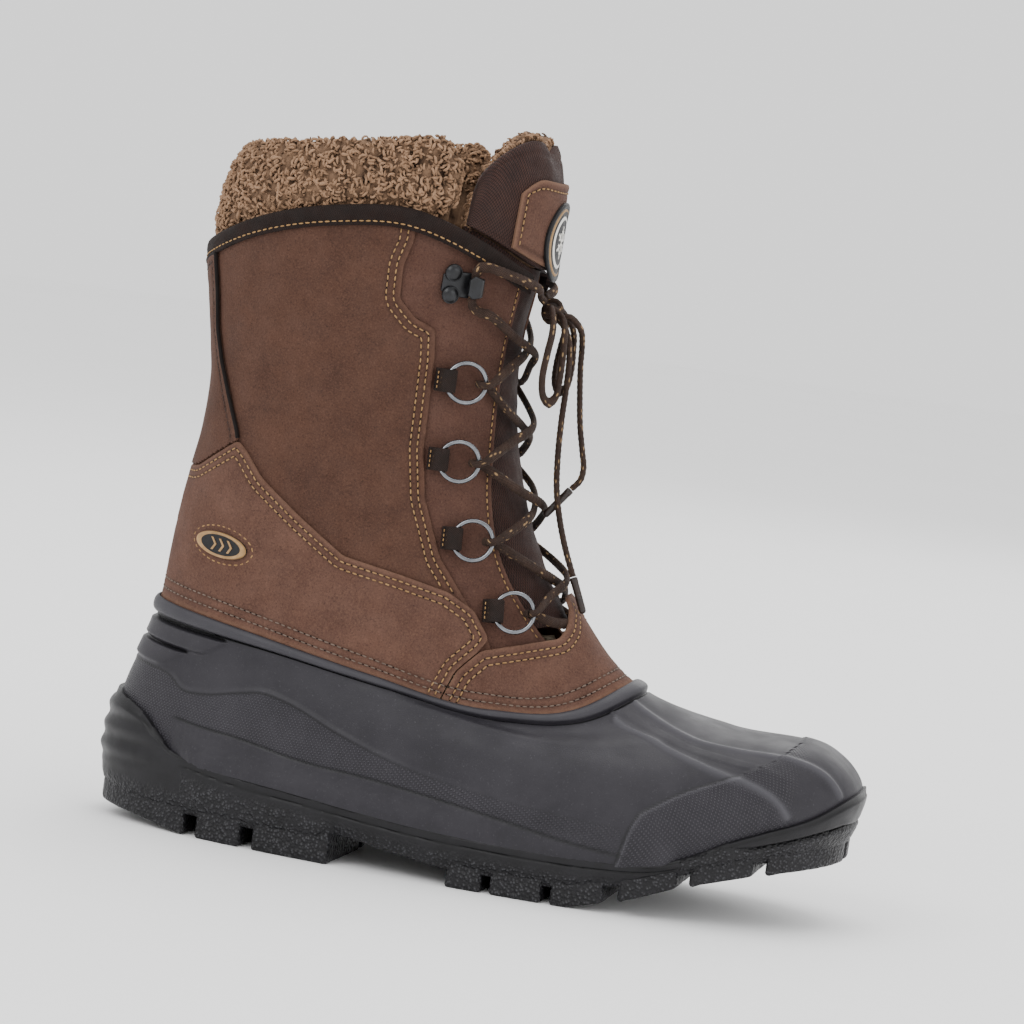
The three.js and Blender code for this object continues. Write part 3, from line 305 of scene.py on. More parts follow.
@dataclass(frozen=True)
class Place:
    """Axes on the upper: forward along the leather, up along it, and out of it."""

    origin: Array
    forward: Array
    rise: Array
    outward: Array

    @classmethod
    def on(cls, x: float, z: float, side: int, out: float) -> "Place":
        """The axes at a side-view place, at a distance from the last."""
        angle, level = LAST.locate(x, z, side)
        outward = LAST.normal(angle, level)[0]
        forward = unit(np.cross((0, 0, 1), outward))
        forward = forward if forward[0] > 0 else -forward
        rise = unit(np.cross(outward, forward))
        rise = rise if rise[2] > 0 else -rise
        return cls(LAST.skin(angle, level, out)[0], forward, rise, outward)

    def at(self, local: Array) -> Array:
        """Points given as forward, rise and outward millimetres."""
        local = np.asarray(local, float)
        return self.origin + local @ np.stack([self.forward, self.rise, self.outward])

    def moved(self, local: Sequence[float]) -> "Place":
        """The same axes at another origin."""
        return Place(self.at(local), self.forward, self.rise, self.outward)


# ------------------------------------------------------------------ meshes

def grid_faces(rows: int, columns: int, round_rows: bool = False, round_columns: bool = False) -> Array:
    """Quads between rows of points."""
    i, j = np.meshgrid(np.arange(rows if round_rows else rows - 1),
                       np.arange(columns if round_columns else columns - 1), indexing="ij")
    n, m = (i + 1) % rows, (j + 1) % columns
    return np.stack([i * columns + j, n * columns + j, n * columns + m, i * columns + m], -1).reshape(-1, 4)


def signed_volume(points: Array, faces: Sequence[Array]) -> float:
    """Volume inside faces, negative where they face inward."""
    total = 0.0
    for block in faces:
        p = points[block]
        for k in range(1, block.shape[1] - 1):
            total += np.einsum("ij,ij->i", p[:, 0], np.cross(p[:, k], p[:, k + 1])).sum()
    return total


class Shape:
    """Points, faces and point values gathered for one object. Points are in millimetres."""

    def __init__(self) -> None:
        """Starts with nothing in it."""
        self.points: list[Array] = []
        self.faces: list[Array] = []
        self.values: dict[str, list[Array]] = {}
        self.materials: list[Array] = []
        self.count = 0

    def add(self, points: Array, faces: Union[Array, Sequence[Array]], slot: int = 0, closed: bool = True,
            **values: Array) -> "Shape":
        """Adds a block.

        Args:
            points: Points of any grid shape.
            faces: Faces over the flattened points, as one array or several.
            slot: Material slot of the block.
            closed: True to turn the faces outward by the block's volume.
            values: Point values by name.

        Returns:
            The shape itself.
        """
        points = np.asarray(points, float).reshape(-1, 3)
        blocks = [np.asarray(b) for b in (faces if isinstance(faces, (list, tuple)) else [faces])]
        if closed and signed_volume(points - points.mean(0), blocks) < 0:
            blocks = [b[:, ::-1] for b in blocks]
        for name in set(self.values) | set(values):
            kept = self.values.setdefault(name, [np.zeros(self.count)])
            kept.append(np.broadcast_to(np.asarray(values.get(name, 0.0), float).reshape(-1), (len(points),)))
        self.points.append(points)
        self.faces += [b + self.count for b in blocks]
        self.materials += [np.full(len(b), slot) for b in blocks]
        self.count += len(points)
        return self

    def grid(self, points: Array, round_rows: bool = False, round_columns: bool = False, caps: bool = False,
             slot: int = 0, **values: Array) -> "Shape":
        """Adds a grid of points, its first and last row filled if caps is true."""
        rows, columns = points.shape[:2]
        faces = [grid_faces(rows, columns, round_rows, round_columns)]
        if caps:
            first = np.arange(columns)[None]
            faces += [first[:, ::-1], first + (rows - 1) * columns]
        return self.add(points, faces, slot, closed=caps or (round_rows and round_columns), **values)

    def join(self, other: "Shape") -> "Shape":
        """Takes in the blocks of another shape that has the same point values."""
        for key in set(self.values) | set(other.values):
            kept = self.values.setdefault(key, [np.zeros(self.count)])
            kept += other.values.get(key, [np.zeros(other.count)])
        self.points += other.points
        self.faces += [b + self.count for b in other.faces]
        self.materials += other.materials
        self.count += other.count
        return self

    def slab(self, outer: Array, inner: Array, slot: int = 0, **values: Array) -> "Shape":
        """Adds a closed sheet between two grids."""
        rows, columns = outer.shape[:2]
        n = rows * columns
        index = np.arange(n).reshape(rows, columns)
        rim = np.concatenate([index[:, 0], index[-1, 1:], index[-2::-1, -1], index[0, -2:0:-1]])
        after = np.roll(rim, -1)
        top = grid_faces(rows, columns)
        sides = np.stack([rim, after, after + n, rim + n], -1)
        values = {k: np.concatenate([np.asarray(v, float).reshape(-1)] * 2) for k, v in values.items()}
        points = np.concatenate([outer.reshape(-1, 3), inner.reshape(-1, 3)])
        return self.add(points, [top, (top + n)[:, ::-1], sides[:, ::-1]], slot, **values)

    def build(self, name: str, *materials: bpy.types.Material, sharp: float = 50.0) -> bpy.types.Object:
        """Makes the object.

        Args:
            name: The piece's name.
            materials: Its materials, in slot order.
            sharp: Degrees above which an edge is drawn sharp.

        Returns:
            The new object, in the scene.
        """
        mesh = bpy.data.meshes.new(name)
        points = np.concatenate(self.points) * MM
        mesh.vertices.add(len(points))
        mesh.vertices.foreach_set("co", points.astype(np.float32).ravel())
        loops = np.concatenate([b.ravel() for b in self.faces]).astype(np.int32)
        sizes = np.concatenate([np.full(len(b), b.shape[1]) for b in self.faces])
        mesh.loops.add(len(loops))
        mesh.loops.foreach_set("vertex_index", loops)
        mesh.polygons.add(len(sizes))
        starts = np.concatenate([[0], np.cumsum(sizes)[:-1]]).astype(np.int32)
        mesh.polygons.foreach_set("loop_start", starts)
        mesh.polygons.foreach_set("material_index", np.concatenate(self.materials).astype(np.int32))
        mesh.update(calc_edges=True)
        mesh.validate()
        mesh.shade_smooth()
        mesh.set_sharp_from_angle(angle=math.radians(sharp))
        for key, parts in self.values.items():
            mesh.attributes.new(key, "FLOAT", "POINT").data.foreach_set(
                "value", np.concatenate(parts).astype(np.float32))
        for material in materials:
            mesh.materials.append(material)
        obj = bpy.data.objects.new(name, mesh)
        bpy.context.scene.collection.objects.link(obj)
        return obj


def piece(obj: bpy.types.Object, body: str, slot: str, *nodes: str) -> bpy.types.Object:
    """Places a finished piece on a body and hides the nodes that it stands for."""
    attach(obj, body)
    if nodes:
        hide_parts(*nodes)
    LOG.info("%s rides on %s: %d faces", obj.name, body, len(obj.data.polygons))
    return obj


def noise(points: Array, size: float, seed: int = 0) -> Array:
    """Smooth noise from -1 to 1.

    Args:
        points: Places in millimetres.
        size: Size of one bump in millimetres.
        seed: Which noise.

    Returns:
        One value per point.
    """
    p = np.asarray(points, float) / size + seed * 17.31
    cell = np.floor(p).astype(np.int64)
    f = p - cell
    f = f * f * (3 - 2 * f)
    total = np.zeros(p.shape[:-1])
    for corner in range(8):
        d = np.array([corner & 1, corner >> 1 & 1, corner >> 2 & 1])
        c = cell + d
        h = c[..., 0] * 374761393 + c[..., 1] * 668265263 + c[..., 2] * 2147483647 + seed * 974634
        h = h & 0x7FFFFFFF
        h = (h ^ (h >> 13)) * 1274126177 & 0x7FFFFFFF
        h = h ^ (h >> 16)
        weight = np.prod(np.where(d, f, 1 - f), axis=-1)
        total += weight * ((h & 0xFFFF) / 32767.5 - 1)
    return total


def lumps(points: Array, size: float, seed: int = 0) -> Array:
    """Rounded lumps from 0 to 1, packed side by side as pebbles are."""
    p = np.asarray(points, float) / size
    cell = np.floor(p).astype(np.int64)
    near = np.full(p.shape[:-1], 9.0)
    for dx in (-1, 0, 1):
        for dy in (-1, 0, 1):
            for dz in (-1, 0, 1):
                c = cell + (dx, dy, dz)
                h = c[..., 0] * 73856093 ^ c[..., 1] * 19349663 ^ c[..., 2] * 83492791 ^ seed * 7919
                h = h & 0xFFFFFFF
                jitter = np.stack([(h * m >> 7 & 1023) / 1023 for m in (31, 57, 97)], -1)
                near = np.minimum(near, ((c + jitter - p)**2).sum(-1))
    return np.clip(1 - near, 0, 1)


def catmull(points: Array, step: float) -> Array:
    """Centripetal Catmull-Rom spline through points.

    Args:
        points: Points in millimetres.
        step: Wanted distance between the new points.

    Returns:
        Points along the spline at even distances.
    """
    p = np.asarray(points, float)
    p = np.concatenate([[2 * p[0] - p[1]], p, [2 * p[-1] - p[-2]]])
    knots = np.concatenate([[0], np.cumsum(np.linalg.norm(np.diff(p, axis=0), axis=-1)**0.5)])
    runs = []
    for i in range(1, len(p) - 2):
        t = np.linspace(knots[i], knots[i + 1], 24, endpoint=False)[:, None]
        t0, t1, t2, t3 = knots[i - 1:i + 3]
        a1 = (t1 - t) / (t1 - t0) * p[i - 1] + (t - t0) / (t1 - t0) * p[i]
        a2 = (t2 - t) / (t2 - t1) * p[i] + (t - t1) / (t2 - t1) * p[i + 1]
        a3 = (t3 - t) / (t3 - t2) * p[i + 1] + (t - t2) / (t3 - t2) * p[i + 2]
        b1 = (t2 - t) / (t2 - t0) * a1 + (t - t0) / (t2 - t0) * a2
        b2 = (t3 - t) / (t3 - t1) * a2 + (t - t1) / (t3 - t1) * a3
        runs.append((t2 - t) / (t2 - t1) * b1 + (t - t1) / (t2 - t1) * b2)
    return evenly(np.concatenate(runs + [p[-2:-1]]), step)


def evenly(points: Array, step: float) -> Array:
    """The same path with points at even distances."""
    walked = distances(points)
    at = np.linspace(0, walked[-1], max(2, round(walked[-1] / step) + 1))
    return np.stack([np.interp(at, walked, points[:, k]) for k in range(3)], -1)


def tube_rings(path: Array, outward: Array, half_width: Union[float, Array], half_height: Union[float, Array],
               sides: int = 12) -> Array:
    """Cross-sections of a flattened tube.

    Args:
        path: Points of its middle.
        outward: Directions that its flat side faces, one per point or one for all.
        half_width: Half of its width, a number or one per point.
        half_height: Half of its thickness.
        sides: Points per section.

    Returns:
        An array of sections by sides by 3.
    """
    along = unit(np.gradient(path, axis=0))
    outward = np.broadcast_to(outward, path.shape)
    up = unit(outward - (outward * along).sum(-1, keepdims=True) * along)
    across = np.cross(along, up)
    turn = np.arange(sides) * 2 * math.pi / sides
    w = np.broadcast_to(half_width, len(path))[:, None, None] * np.cos(turn)[None, :, None]
    h = np.broadcast_to(half_height, len(path))[:, None, None] * np.sin(turn)[None, :, None]
    return path[:, None] + across[:, None] * w + up[:, None] * h


# ------------------------------------------------------------------ finishes

def linear(hex_colour: str) -> tuple[float, float, float, float]:
    """Linear colour of an sRGB hex value."""
    parts = [int(hex_colour[i:i + 2], 16) / 255 for i in (1, 3, 5)]
    r, g, b = (c / 12.92 if c <= 0.04045 else ((c + 0.055) / 1.055)**2.4 for c in parts)
    return r, g, b, 1.0


Tree = bpy.types.NodeTree
Link = bpy.types.NodeSocket
Socket = Union[Link, float, Sequence[float]]


def node(tree: Tree, kind: str, inputs: Optional[dict[Union[int, str], Socket]] = None,
         **settings: object) -> bpy.types.Node:
    """Adds a shader node.

    Args:
        tree: Tree to add it to.
        kind: Its type after "ShaderNode".
        inputs: Sockets to link or values to set, by input name or number.
        settings: Its own settings.

    Returns:
        The new node.
    """
    made = tree.nodes.new("ShaderNode" + kind)
    for key, value in settings.items():
        setattr(made, key, value)
    for key, value in (inputs or {}).items():
        if isinstance(value, Link):
            tree.links.new(value, made.inputs[key])
        else:
            made.inputs[key].default_value = value
    return made


def per_mm(size: float) -> float:
    """Texture scale that gives a bump of this many millimetres on object coordinates in metres."""
    return 1 / (size * MM)


@dataclass(frozen=True)
class Finish:
    """What every finish has: two colours that it wanders between, its gloss, and a grain in relief.

    Sizes are in millimetres. `mottle` is the size of the colour's blotches, `grain` that of the relief.
    """

    name: str
    dark: str
    light: str
    roughness: float = 0.6
    mottle: float = 9.0
    grain: float = 0.5
    depth: float = 0.1
    metallic: float = 0.0
    specular: float = 0.25
    sheen: float = 0.0
    coat: float = 0.0

    def colour(self, tree: Tree, place: Link) -> Link:
        """Colour of the finish at a place."""
        blotch = node(tree, "TexNoise", {"Vector": place, "Scale": per_mm(self.mottle), "Detail": 5.0,
                                         "Roughness": 0.65})
        share = node(tree, "MapRange", {0: blotch.outputs[0], 1: 0.32, 2: 0.68})
        return node(tree, "Mix", {0: share.outputs[0], 6: linear(self.dark), 7: linear(self.light)},
                    data_type="RGBA").outputs[2]

    def layers(self, tree: Tree, base: Link, *coats: tuple[Union[str, Link], str]) -> Link:
        """Lays colours over a base, each where its mask, a link or the name of a point value, is 1."""
        for mask, tint in coats:
            if isinstance(mask, str):
                mask = node(tree, "Attribute", attribute_name=mask).outputs["Fac"]
            base = node(tree, "Mix", {0: mask, 6: base, 7: linear(tint)}, data_type="RGBA").outputs[2]
        return base

    def height(self, tree: Tree, place: Link) -> Link:
        """Relief of the finish at a place, from 0 to 1."""
        scale = per_mm(self.grain)
        return node(tree, "TexNoise", {"Vector": place, "Scale": scale, "Detail": 3.0}).outputs[0]

    def shine(self, tree: Tree, place: Link) -> Link:
        """Roughness of the finish at a place."""
        worn = node(tree, "TexNoise", {"Vector": place, "Scale": per_mm(self.mottle * 0.6), "Detail": 3.0})
        low, high = max(self.roughness - 0.07, 0.05), min(self.roughness + 0.07, 1.0)
        return node(tree, "MapRange", {0: worn.outputs[0], 1: 0.3, 2: 0.7, 3: low, 4: high}).outputs[0]

    def material(self) -> bpy.types.Material:
        """The finish as a material, made once."""
        made = bpy.data.materials.get(self.name)
        if made:
            return made
        made = bpy.data.materials.new(self.name)
        made.use_nodes = True
        tree = made.node_tree
        tree.nodes.clear()
        place = node(tree, "TexCoord").outputs["Object"]
        bump = node(tree, "Bump", {"Height": self.height(tree, place), "Distance": self.depth * MM,
                                   "Strength": 1.0})
        shader = node(tree, "BsdfPrincipled", {
            "Base Color": self.colour(tree, place), "Roughness": self.shine(tree, place),
            "Normal": bump.outputs[0], "Metallic": self.metallic, "Specular IOR Level": self.specular,
            "Sheen Weight": self.sheen, "Sheen Roughness": 0.55, "Coat Weight": self.coat,
            "Coat Roughness": 0.3})
        if self.sheen:
            shader.inputs["Sheen Tint"].default_value = linear(self.light)
        node(tree, "OutputMaterial", {"Surface": shader.outputs[0]})
        made.diffuse_color = linear(self.light)
        return made


@dataclass(frozen=True)
class Nubuck(Finish):
    """Cowhide buffed on its grain side: matt, its short nap rubbed lighter in clouds and at edges."""

    raw: str = "#634739"

    def colour(self, tree: Tree, place: Link) -> Link:
        """Clouded colour with a fine fleck, rubbed lighter at cut edges, and painted shade in the stitch
        grooves.
        """
        grain = node(tree, "TexNoise", {"Vector": place, "Scale": per_mm(0.75), "Detail": 4.0,
                                        "Roughness": 0.8}).outputs[0]
        fleck = node(tree, "MapRange", {0: grain, 1: 0.52, 2: 0.78, 3: 0.0, 4: 0.8}).outputs[0]
        pore = node(tree, "MapRange", {0: grain, 1: 0.46, 2: 0.3, 3: 0.0, 4: 0.75}).outputs[0]
        # the edge coat is the rubbed cut edge; the last coat is painted shade in the grooves along the stitch
        # rows
        return self.layers(tree, super().colour(tree, place), (fleck, self.raw), (pore, "#20130e"),
                           ("edge", self.raw), ("seam", "#1c100b"))


@dataclass(frozen=True)
class GaloshRubber(Finish):
    """Vulcanised rubber from a sandblasted mould: satin, with moulded knurling where the masks ask for it."""

    pitch: float = 1.5      # real ribs are near 1 mm apart, drawn coarser so that they show

    def ribs(self, tree: Tree) -> Link:
        """Height of the knurling: crossed ribs where `knurl` or `cross` is 1."""
        along = node(tree, "Attribute", attribute_name="along").outputs["Fac"]
        up = node(tree, "Attribute", attribute_name="up").outputs["Fac"]
        ribs = []
        for slope in (0.75, -0.75):
            lean = node(tree, "Math", {0: up, 1: slope, 2: along}, operation="MULTIPLY_ADD")
            phase = node(tree, "Math", {0: lean.outputs[0], 1: 2 * math.pi / self.pitch},
                         operation="MULTIPLY")
            wave = node(tree, "Math", {0: phase.outputs[0]}, operation="SINE")
            ribs.append(node(tree, "MapRange", {0: wave.outputs[0], 1: -0.6, 2: 0.6}).outputs[0])
        knurl = node(tree, "Attribute", attribute_name="knurl").outputs["Fac"]
        cross = node(tree, "Attribute", attribute_name="cross").outputs["Fac"]
        both = node(tree, "Math", {0: ribs[0], 1: ribs[1]}, operation="MULTIPLY")
        where = node(tree, "Math", {0: knurl, 1: cross}, operation="MAXIMUM")
        return node(tree, "Math", {0: both.outputs[0], 1: where.outputs[0]}, operation="MULTIPLY").outputs[0]

    def height(self, tree: Tree, place: Link) -> Link:
        """Knurling over the sandblasted grain."""
        grain = super().height(tree, place)
        return node(tree, "Math", {0: grain, 1: 0.3, 2: self.ribs(tree)}, operation="MULTIPLY_ADD").outputs[0]

    def colour(self, tree: Tree, place: Link) -> Link:
        """Charcoal with a faint bloom and dust specks, a painted highlight on the rib tops and raised edges,
        and painted shade in the grooves.
        """
        dust = node(tree, "TexNoise", {"Vector": place, "Scale": per_mm(0.8), "Detail": 3.0}).outputs[0]
        speck = node(tree, "MapRange", {0: dust, 1: 0.62, 2: 0.8, 3: 0.0, 4: 0.3}).outputs[0]
        # painted highlight on the tops of the knurled ribs
        top = node(tree, "MapRange", {0: self.ribs(tree), 1: 0.35, 2: 0.95, 3: 0.0, 4: 0.5}).outputs[0]
        # on the galosh the edge mask is a painted highlight on raised ridges; the last coat is painted shade in
        # the grooves
        return self.layers(tree, super().colour(tree, place), (speck, "#5a585d"), (top, "#4c4a4f"),
                           ("edge", "#57565b"), ("seam", "#050506"))


@dataclass(frozen=True)
class SoleRubber(Finish):
    """Black sole rubber, its mould spark-eroded to a coarse pebble that glints on every grain."""

    def pebble(self, tree: Tree, place: Link) -> Link:
        """Height of the grains, 0 on the smooth bumpers."""
        grain = node(tree, "TexVoronoi", {"Vector": place, "Scale": per_mm(1.35), "Randomness": 1.0},
                     feature="F1")
        dome = node(tree, "MapRange", {0: grain.outputs["Distance"], 1: 0.75, 2: 0.05})
        mask = node(tree, "Attribute", attribute_name="pebble").outputs["Fac"]
        return node(tree, "Math", {0: dome.outputs[0], 1: mask}, operation="MULTIPLY").outputs[0]

    def height(self, tree: Tree, place: Link) -> Link:
        """Pebble over a fine grain."""
        fine = super().height(tree, place)
        return node(tree, "Math", {0: fine, 1: 0.15, 2: self.pebble(tree, place)},
                    operation="MULTIPLY_ADD").outputs[0]

    def colour(self, tree: Tree, place: Link) -> Link:
        """Near black, with a painted highlight on the tops of the grains and painted shade in the grooves."""
        # painted highlight on the tops of the pebble grains; the last coat below is painted shade in the
        # grooves
        top = node(tree, "MapRange", {0: self.pebble(tree, place), 1: 0.45, 2: 0.95, 3: 0.0, 4: 0.4})
        return self.layers(tree, super().colour(tree, place), (top.outputs[0], "#5b5b5f"),
                           ("seam", "#070708"))


class Weave(Enum):
    """How yarns lie in a woven finish."""

    PLAIN = 1.0
    TWILL = 0.5
    BRAID = 0.3


@dataclass(frozen=True)
class Woven(Finish):
    """Woven nylon or polyester: each yarn is a small round hill that catches light along one side."""

    yarn: float = 0.8
    weave: Weave = Weave.PLAIN
    fleck: str = "#000000"
    flecks: float = 0.0

    def yarns(self, tree: Tree) -> Link:
        """Height of the yarns from `along` and `up`, which hold millimetres on the piece."""
        along = node(tree, "Attribute", attribute_name="along").outputs["Fac"]
        up = node(tree, "Attribute", attribute_name="up").outputs["Fac"]
        sums = []
        for direction in (1.0, -1.0):
            slanted = node(tree, "Math", {0: up, 1: direction * (1.6 - self.weave.value), 2: along},
                           operation="MULTIPLY_ADD")
            phase = node(tree, "Math", {0: slanted.outputs[0], 1: math.pi / self.yarn}, operation="MULTIPLY")
            wave = node(tree, "Math", {0: phase.outputs[0]}, operation="SINE")
            sums.append(node(tree, "Math", {0: wave.outputs[0]}, operation="ABSOLUTE").outputs[0])
        return node(tree, "Math", {0: sums[0], 1: sums[1]}, operation="MULTIPLY").outputs[0]

    def height(self, tree: Tree, place: Link) -> Link:
        """Yarns under a little fuzz."""
        fuzz = super().height(tree, place)
        return node(tree, "Math", {0: fuzz, 1: 0.3, 2: self.yarns(tree)}, operation="MULTIPLY_ADD").outputs[0]

    def colour(self, tree: Tree, place: Link) -> Link:
        """Yarn colour, with painted shade between the yarns and flecks of a second yarn."""
        # painted shade in the hollows between the yarns
        yarn_gap_shade = node(tree, "MapRange", {0: self.yarns(tree), 1: 0.5, 2: 0.05, 3: 0.0, 4: 0.85})
        deep = self.layers(tree, super().colour(tree, place), (yarn_gap_shade.outputs[0], "#080403"))
        if not self.flecks:
            return deep
        along = node(tree, "Attribute", attribute_name="along").outputs["Fac"]
        up = node(tree, "Attribute", attribute_name="up").outputs["Fac"]
        drawn = node(tree, "Math", {0: along, 1: 0.38}, operation="MULTIPLY")
        laid = node(tree, "CombineXYZ", {0: drawn.outputs[0], 1: up})
        spot = node(tree, "TexVoronoi", {"Vector": laid.outputs[0], "Scale": 0.62}, feature="F1")
        share = node(tree, "MapRange", {0: spot.outputs["Distance"], 1: self.flecks, 2: self.flecks * 0.6,
                                        3: 0.0, 4: 0.9})
        return self.layers(tree, deep, (share.outputs[0], self.fleck))


@dataclass(frozen=True)
class Pile(Finish):
    """Curly acrylic fleece: pale on the tips of the curls, with painted shade where the eye looks in between
    them.
    """

    # colour of the painted shade deep in the pile
    shade: str = "#24160e"

    def colour(self, tree: Tree, place: Link) -> Link:
        """Curl colour at the tips, where `tip` is 1, and painted shade deep in the pile."""
        base = super().colour(tree, place)
        tip = node(tree, "Attribute", attribute_name="tip")
        return node(tree, "Mix", {0: tip.outputs["Fac"], 6: linear(self.shade), 7: base},
                    data_type="RGBA").outputs[2]


# full-grain cowhide, buffed
QUARTER_HIDE = Nubuck("nubuck_quarter_buffed", "#3f2920", "#4c3328", 0.88, 16, 0.4, 0.22, sheen=0.12)
WARM_HIDE = Nubuck("nubuck_overlay_buffed", "#493128", "#5b4035", 0.88, 16, 0.4, 0.24, sheen=0.14,
                   raw="#6f5342")
EYESTAY_HIDE = Nubuck("nubuck_eyestay_buffed", "#432c24", "#50372e", 0.88, 14, 0.4, 0.22, sheen=0.12)
# vulcanised rubber out of sandblasted and eroded moulds
GALOSH = GaloshRubber("rubber_galosh_vulcanised", "#1e1c21", "#29272c", 0.48, 22, 0.5, 0.3, specular=0.28)
SOLE_RUBBER = SoleRubber("rubber_outsole_moulded", "#100f11", "#19181b", 0.42, 12, 0.5, 0.55, specular=0.25)
# woven goods
TAPE = Woven("polyester_tape_woven", "#160c08", "#22130d", 0.85, 8, 0.3, 0.16, sheen=0.3, yarn=0.9)
NYLON = Woven("nylon_cloth_woven", "#2e1b17", "#3f2821", 0.75, 10, 0.3, 0.28, sheen=0.12, yarn=1.35)
STRAP = Woven("nylon_webbing_woven", "#1d120d", "#2b1c15", 0.72, 6, 0.3, 0.25, sheen=0.15, yarn=0.9,
              weave=Weave.TWILL)
LACE_YARN = Woven("polyester_lace_braided", "#2e2019", "#453228", 0.8, 5, 0.3, 0.25, sheen=0.3, yarn=0.85,
                  weave=Weave.BRAID, fleck="#9b7d58", flecks=0.27)
FLEECE = Pile("acrylic_fleece_knitted", "#80634b", "#9c7c62", 0.95, 5, 0.4, 0.3, sheen=0.15)
FELT = Finish("wool_felt_pressed", "#8f806c", "#b5a58f", 0.95, 6, 0.6, 0.5, sheen=0.3)
FOAM = Finish("footbed_foam_covered", "#3f3d3a", "#575450", 0.9, 8, 0.5, 0.25)
BOARD = Finish("fibreboard_pressed", "#7b6448", "#9a8160", 0.9, 6, 0.8, 0.15)
# metals: nickel-plated wire, lacquered brass and plain spring steel
RING_STEEL = Finish("steel_ring_nickel_plated", "#66686c", "#85878b", 0.26, 5, 0.4, 0.012, metallic=1.0)
HOOK_LACQUER = Finish("steel_hook_black_lacquered", "#151516", "#222326", 0.33, 4, 0.3, 0.02, metallic=0.55,
                      coat=0.35)
SHANK_STEEL = Finish("steel_shank_rolled", "#85878a", "#a7a9ac", 0.4, 9, 0.5, 0.02, metallic=1.0)
TIP_PLASTIC = Finish("acetate_tip_crimped", "#1b1310", "#2c1f19", 0.3, 4, 0.4, 0.03, coat=0.3)
# sewing thread, and the painted shadow in the punched holes that it goes through
TAN_THREAD = Finish("polyester_thread_tan", "#7d5f3c", "#9b7a50", 0.65, 3, 0.25, 0.08, sheen=0.3)
GREY_THREAD = Finish("polyester_thread_grey", "#54473e", "#6d5e53", 0.65, 3, 0.25, 0.08, sheen=0.3)
DARK_THREAD = Finish("polyester_thread_brown", "#281a14", "#3a281f", 0.65, 3, 0.25, 0.08)
NEEDLE_HOLE_SHADOW = Finish("needle_hole_shadow", "#0d0807", "#150d0a", 0.95, 3, 0.3, 0.02)
# moulded label and badge
BADGE_BLACK = Finish("rubber_badge_black", "#121213", "#1d1d1f", 0.5, 4, 0.3, 0.04)
BADGE_TAN = Finish("rubber_badge_tan", "#8a6b45", "#a5835a", 0.55, 4, 0.3, 0.04)
BADGE_WHITE = Finish("rubber_badge_white", "#cfccc4", "#e6e3dc", 0.5, 4, 0.3, 0.03)


# ------------------------------------------------------------------ sewing

def sew(shape: Shape, path: Array, normal: Array, pitch: float = 2.7, length: float = 2.05,
        width: float = 0.58, thread: int = 0, hole: int = 1, seed: int = 3) -> Shape:
    """Adds a row of stitches with their needle holes, drawn as dark plugs of painted shadow.

    Args:
        shape: Shape to add them to.
        path: Points along the row, on the face of what is sewn.
        normal: Outward normals there.
        pitch: Distance from hole to hole.
        length: Length of thread that shows.
        width: Thickness of the thread.
        thread: Material slot of the thread.
        hole: Material slot of the holes' painted shadow.
        seed: Seed of the small unevenness.

    Returns:
        The shape.
    """
    walked = distances(path)
    count = int(walked[-1] // pitch)
    if count < 1:
        return shape
    rng = np.random.default_rng(seed)
    middle = (np.arange(count) + 0.5) * walked[-1] / count

    def read(values: Array, at: Array) -> Array:
        """Values along the row."""
        return np.stack([np.interp(at, walked, values[:, k]) for k in range(3)], -1)

    centre = read(path, middle)
    out = unit(read(normal, middle))
    ahead, behind = read(path, middle + length / 2), read(path, middle - length / 2)
    along = unit(ahead - behind)
    across = np.cross(out, along)
    along = unit(along + across * rng.normal(0.0, 0.05, (count, 1)))
    across = unit(np.cross(out, along))
    sides, steps = 6, 5
    t = np.linspace(-1, 1, steps)
    fat = np.sqrt(np.clip(1 - t**4, 0.08, 1))
    turn = np.arange(sides) * 2 * math.pi / sides
    size = width / 2 * rng.uniform(0.9, 1.1, count)[:, None, None, None]
    lift = (0.32 - 0.42 * t**4)[None, :, None, None] * width
    tall, wide = (fat[None, :, None, None] * wave(turn)[None, None, :, None] for wave in (np.sin, np.cos))
    body = (centre[:, None, None] + along[:, None, None] * (t * length / 2)[None, :, None, None]
            + out[:, None, None] * (lift + size * 0.75 * tall) + across[:, None, None] * (size * wide))
    faces = grid_faces(steps, sides, round_columns=True)
    caps = np.arange(sides)[None]
    each = steps * sides
    shift = (np.arange(count) * each)[:, None, None]
    blocks = [(faces[None] + shift).reshape(-1, 4),
              (np.concatenate([caps[:, ::-1], caps + (steps - 1) * sides])[None] + shift).reshape(-1, sides)]
    shape.add(body, blocks, thread)
    # each needle hole is a dark plug standing a little proud of the face: painted shadow where the hole is
    start = (np.arange(count + 1)) * walked[-1] / count
    holes, normals = read(path, start), unit(read(normal, start))
    ahead = unit(read(path, start + 0.3) - read(path, start - 0.3))
    side = np.cross(normals, ahead)
    turn = np.arange(7) * 2 * math.pi / 7
    ring = (holes[:, None] + ahead[:, None] * (0.4 * np.cos(turn))[None, :, None]
            + side[:, None] * (0.3 * np.sin(turn))[None, :, None])
    points = np.concatenate([ring + normals[:, None] * 0.06, ring - normals[:, None] * 0.3], 1)
    n = 7
    lid = np.arange(n)[None]
    wall = np.stack([np.arange(n), (np.arange(n) + 1) % n, (np.arange(n) + 1) % n + n, np.arange(n) + n], -1)
    shift = (np.arange(len(start)) * 2 * n)[:, None, None]
    shape.add(points, [(lid[None] + shift).reshape(-1, n), (lid[None, :, ::-1] + n + shift).reshape(-1, n),
                       (wall[None, :, ::-1] + shift).reshape(-1, 4)], hole)
    return shape


def distance_to(points: Array, path: Array) -> tuple[Array, Array]:
    """Distance from each point to the nearest point of a dense path, and which one that is."""
    tree = search_tree(path)
    flat = points.reshape(-1, 3)
    found = np.array([tree.find(p)[1:] for p in flat])
    return found[:, 1].reshape(points.shape[:-1]), found[:, 0].astype(int).reshape(points.shape[:-1])


